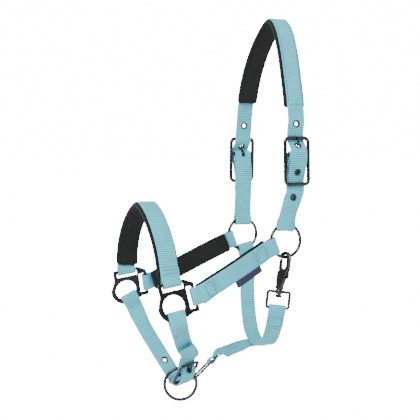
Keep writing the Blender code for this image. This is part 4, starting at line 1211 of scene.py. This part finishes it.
def label_tag():
    """A folded plain tag, its upper edge along the strap's edge."""
    route = cheek_route(1)
    start, stop = route.length * 0.44, route.length * 0.76
    rows, columns = 14, 40
    verts, faces = [], []
    for face in (0, 1):
        for i in range(rows + 1):
            low = 8.5 * i / rows
            swell = 0.55 * np.sin(np.pi * min(1, (1 - i / rows) * 6) / 2)
            for s in np.linspace(start, stop, columns + 1):
                wide = route.frame(s)[1]
                out = -LAYER + 0.38 + (swell if face else -swell)
                verts.append(route.place(s, out) + wide * (WEB_SLIM / 2 + GAP + low))
    size = (rows + 1) * (columns + 1)
    for face in (0, size):
        for i in range(rows):
            for j in range(columns):
                a = face + i * (columns + 1) + j
                faces.append((a, a + 1, a + columns + 2, a + columns + 1))
    rim = [j for j in range(columns + 1)] + [(i + 1) * (columns + 1) - 1 for i in range(1, rows + 1)]
    rim += [rows * (columns + 1) + j for j in range(columns - 1, -1, -1)]
    rim += [i * (columns + 1) for i in range(rows - 1, 0, -1)]
    faces += [(a, b, size + b, size + a) for a, b in zip(rim, rim[1:] + rim[:1])]
    dress(place_mesh("label_tag_fine", verts, faces), "label", "label_tag")


def snap():
    for name in ("snap_hook_body", "snap_gate", "snap_gate_pin", "snap_gate_spring"):
        part = frame["nodes"][name]
        part.data.materials.clear()
        part.data.materials.append(LOOKS["metal"])
        part.data.shade_smooth()
        part.data.set_sharp_from_angle(angle=0.5)
    wide, tall = EYE_SIZE
    centre = SNAP + SNAP_UP * (EYE_TOP - tall / 2)
    line = rounded_rectangle(wide, tall, EYE_CORNER, 10)
    rim = wire("eye_rim", centre, EYE_AXES, EYE_WIRE, line)
    top = SNAP + SNAP_UP * EYE_TOP
    boss = [(2.25, -3.2), (3.9, -3.2), (4.3, -2.8), (4.3, 2.8), (3.9, 3.2), (2.25, 3.2)]
    dress(joined("snap_eye_fine", [rim, turned("boss", boss, top, SNAP_UP)]), "metal", "snap_swivel_eye")


# ---------------------------------------------------------------- light, floor and camera


def light(name, place, target, size, power):
    lamp = bpy.data.lights.new(name, "AREA")
    lamp.shape, lamp.size, lamp.size_y, lamp.energy = "RECTANGLE", size[0], size[1], power
    made = bpy.data.objects.new(name, lamp)
    bpy.context.collection.objects.link(made)
    aim(made, place, target)


def aim(made, place, target):
    back = unit(np.subtract(place, target))
    right = unit(np.cross((0, 0, 1), back))
    up = np.cross(back, right)
    turn = Matrix([[right[i], up[i], back[i]] for i in range(3)]).to_4x4()
    made.matrix_world = Matrix.Translation(place) @ turn


def studio():
    size = 30.0
    mesh = bpy.data.meshes.new("floor")
    low = -0.53
    corners = [(-size, -size, low), (size, -size, low), (size, size, low), (-size, size, low)]
    mesh.from_pydata(corners, [], [(0, 1, 2, 3)])
    floor = bpy.data.objects.new("floor", mesh)
    bpy.context.collection.objects.link(floor)
    made, tree, shader = surface("floor", (0.86, 0.86, 0.86), 0.9)
    shader.inputs["Emission Color"].default_value = (1, 1, 1, 1)
    seen = tree.nodes.new("ShaderNodeLightPath").outputs["Is Camera Ray"]
    tree.links.new(maths(tree, "MULTIPLY", seen, BACKDROP), shader.inputs["Emission Strength"])
    mesh.materials.append(made)
    middle = (0.0, -0.09, -0.24)
    light("key", (1.3, -1.5, 1.1), middle, (1.1, 1.1), 56)
    light("rear_strip", (0.5, 1.6, 0.4), middle, (0.35, 1.5), 14)
    light("far_fill", (-1.5, -0.9, 0.4), middle, (1.2, 1.4), 20)
    sky = bpy.data.worlds.new("sky")
    bpy.context.scene.world = sky
    sky.use_nodes = True
    tree = sky.node_tree
    back = tree.nodes["Background"]
    path = tree.nodes.new("ShaderNodeLightPath")
    place = tree.nodes.new("ShaderNodeTexCoord")
    split = tree.nodes.new("ShaderNodeSeparateXYZ")
    tree.links.new(place.outputs["Generated"], split.inputs[0])
    glow = tint(tree, maths(tree, "ADD", maths(tree, "MULTIPLY", split.outputs[2], 0.5), 0.5),
                (0.22, 0.22, 0.23), (1.0, 1.0, 1.0), 0.42, 0.85)
    mix = tree.nodes.new("ShaderNodeMixRGB")
    mix.inputs[2].default_value = (BACKDROP, BACKDROP, BACKDROP, 1)
    tree.links.new(path.outputs["Is Camera Ray"], mix.inputs[0])
    tree.links.new(glow, mix.inputs[1])
    tree.links.new(mix.outputs[0], back.inputs[0])
    back.inputs[1].default_value = 1.0
    camera = bpy.data.cameras.new("camera")
    camera.lens, camera.sensor_width, camera.clip_start, camera.clip_end = 91.54, 36.0, 0.05, 100.0
    made = bpy.data.objects.new("camera", camera)
    bpy.context.collection.objects.link(made)
    aim(made, (1.25, -0.6811, -0.1592), (0.0, -0.096, -0.2429))
    bpy.context.scene.camera = made


crown()
for side, label in ((1, "near"), (-1, "far")):
    crown_buckle(side, label)
    cheek(side, label)
    side_plate(side, label)
noseband()
chin()
throat()
label_tag()
snap()
studio()
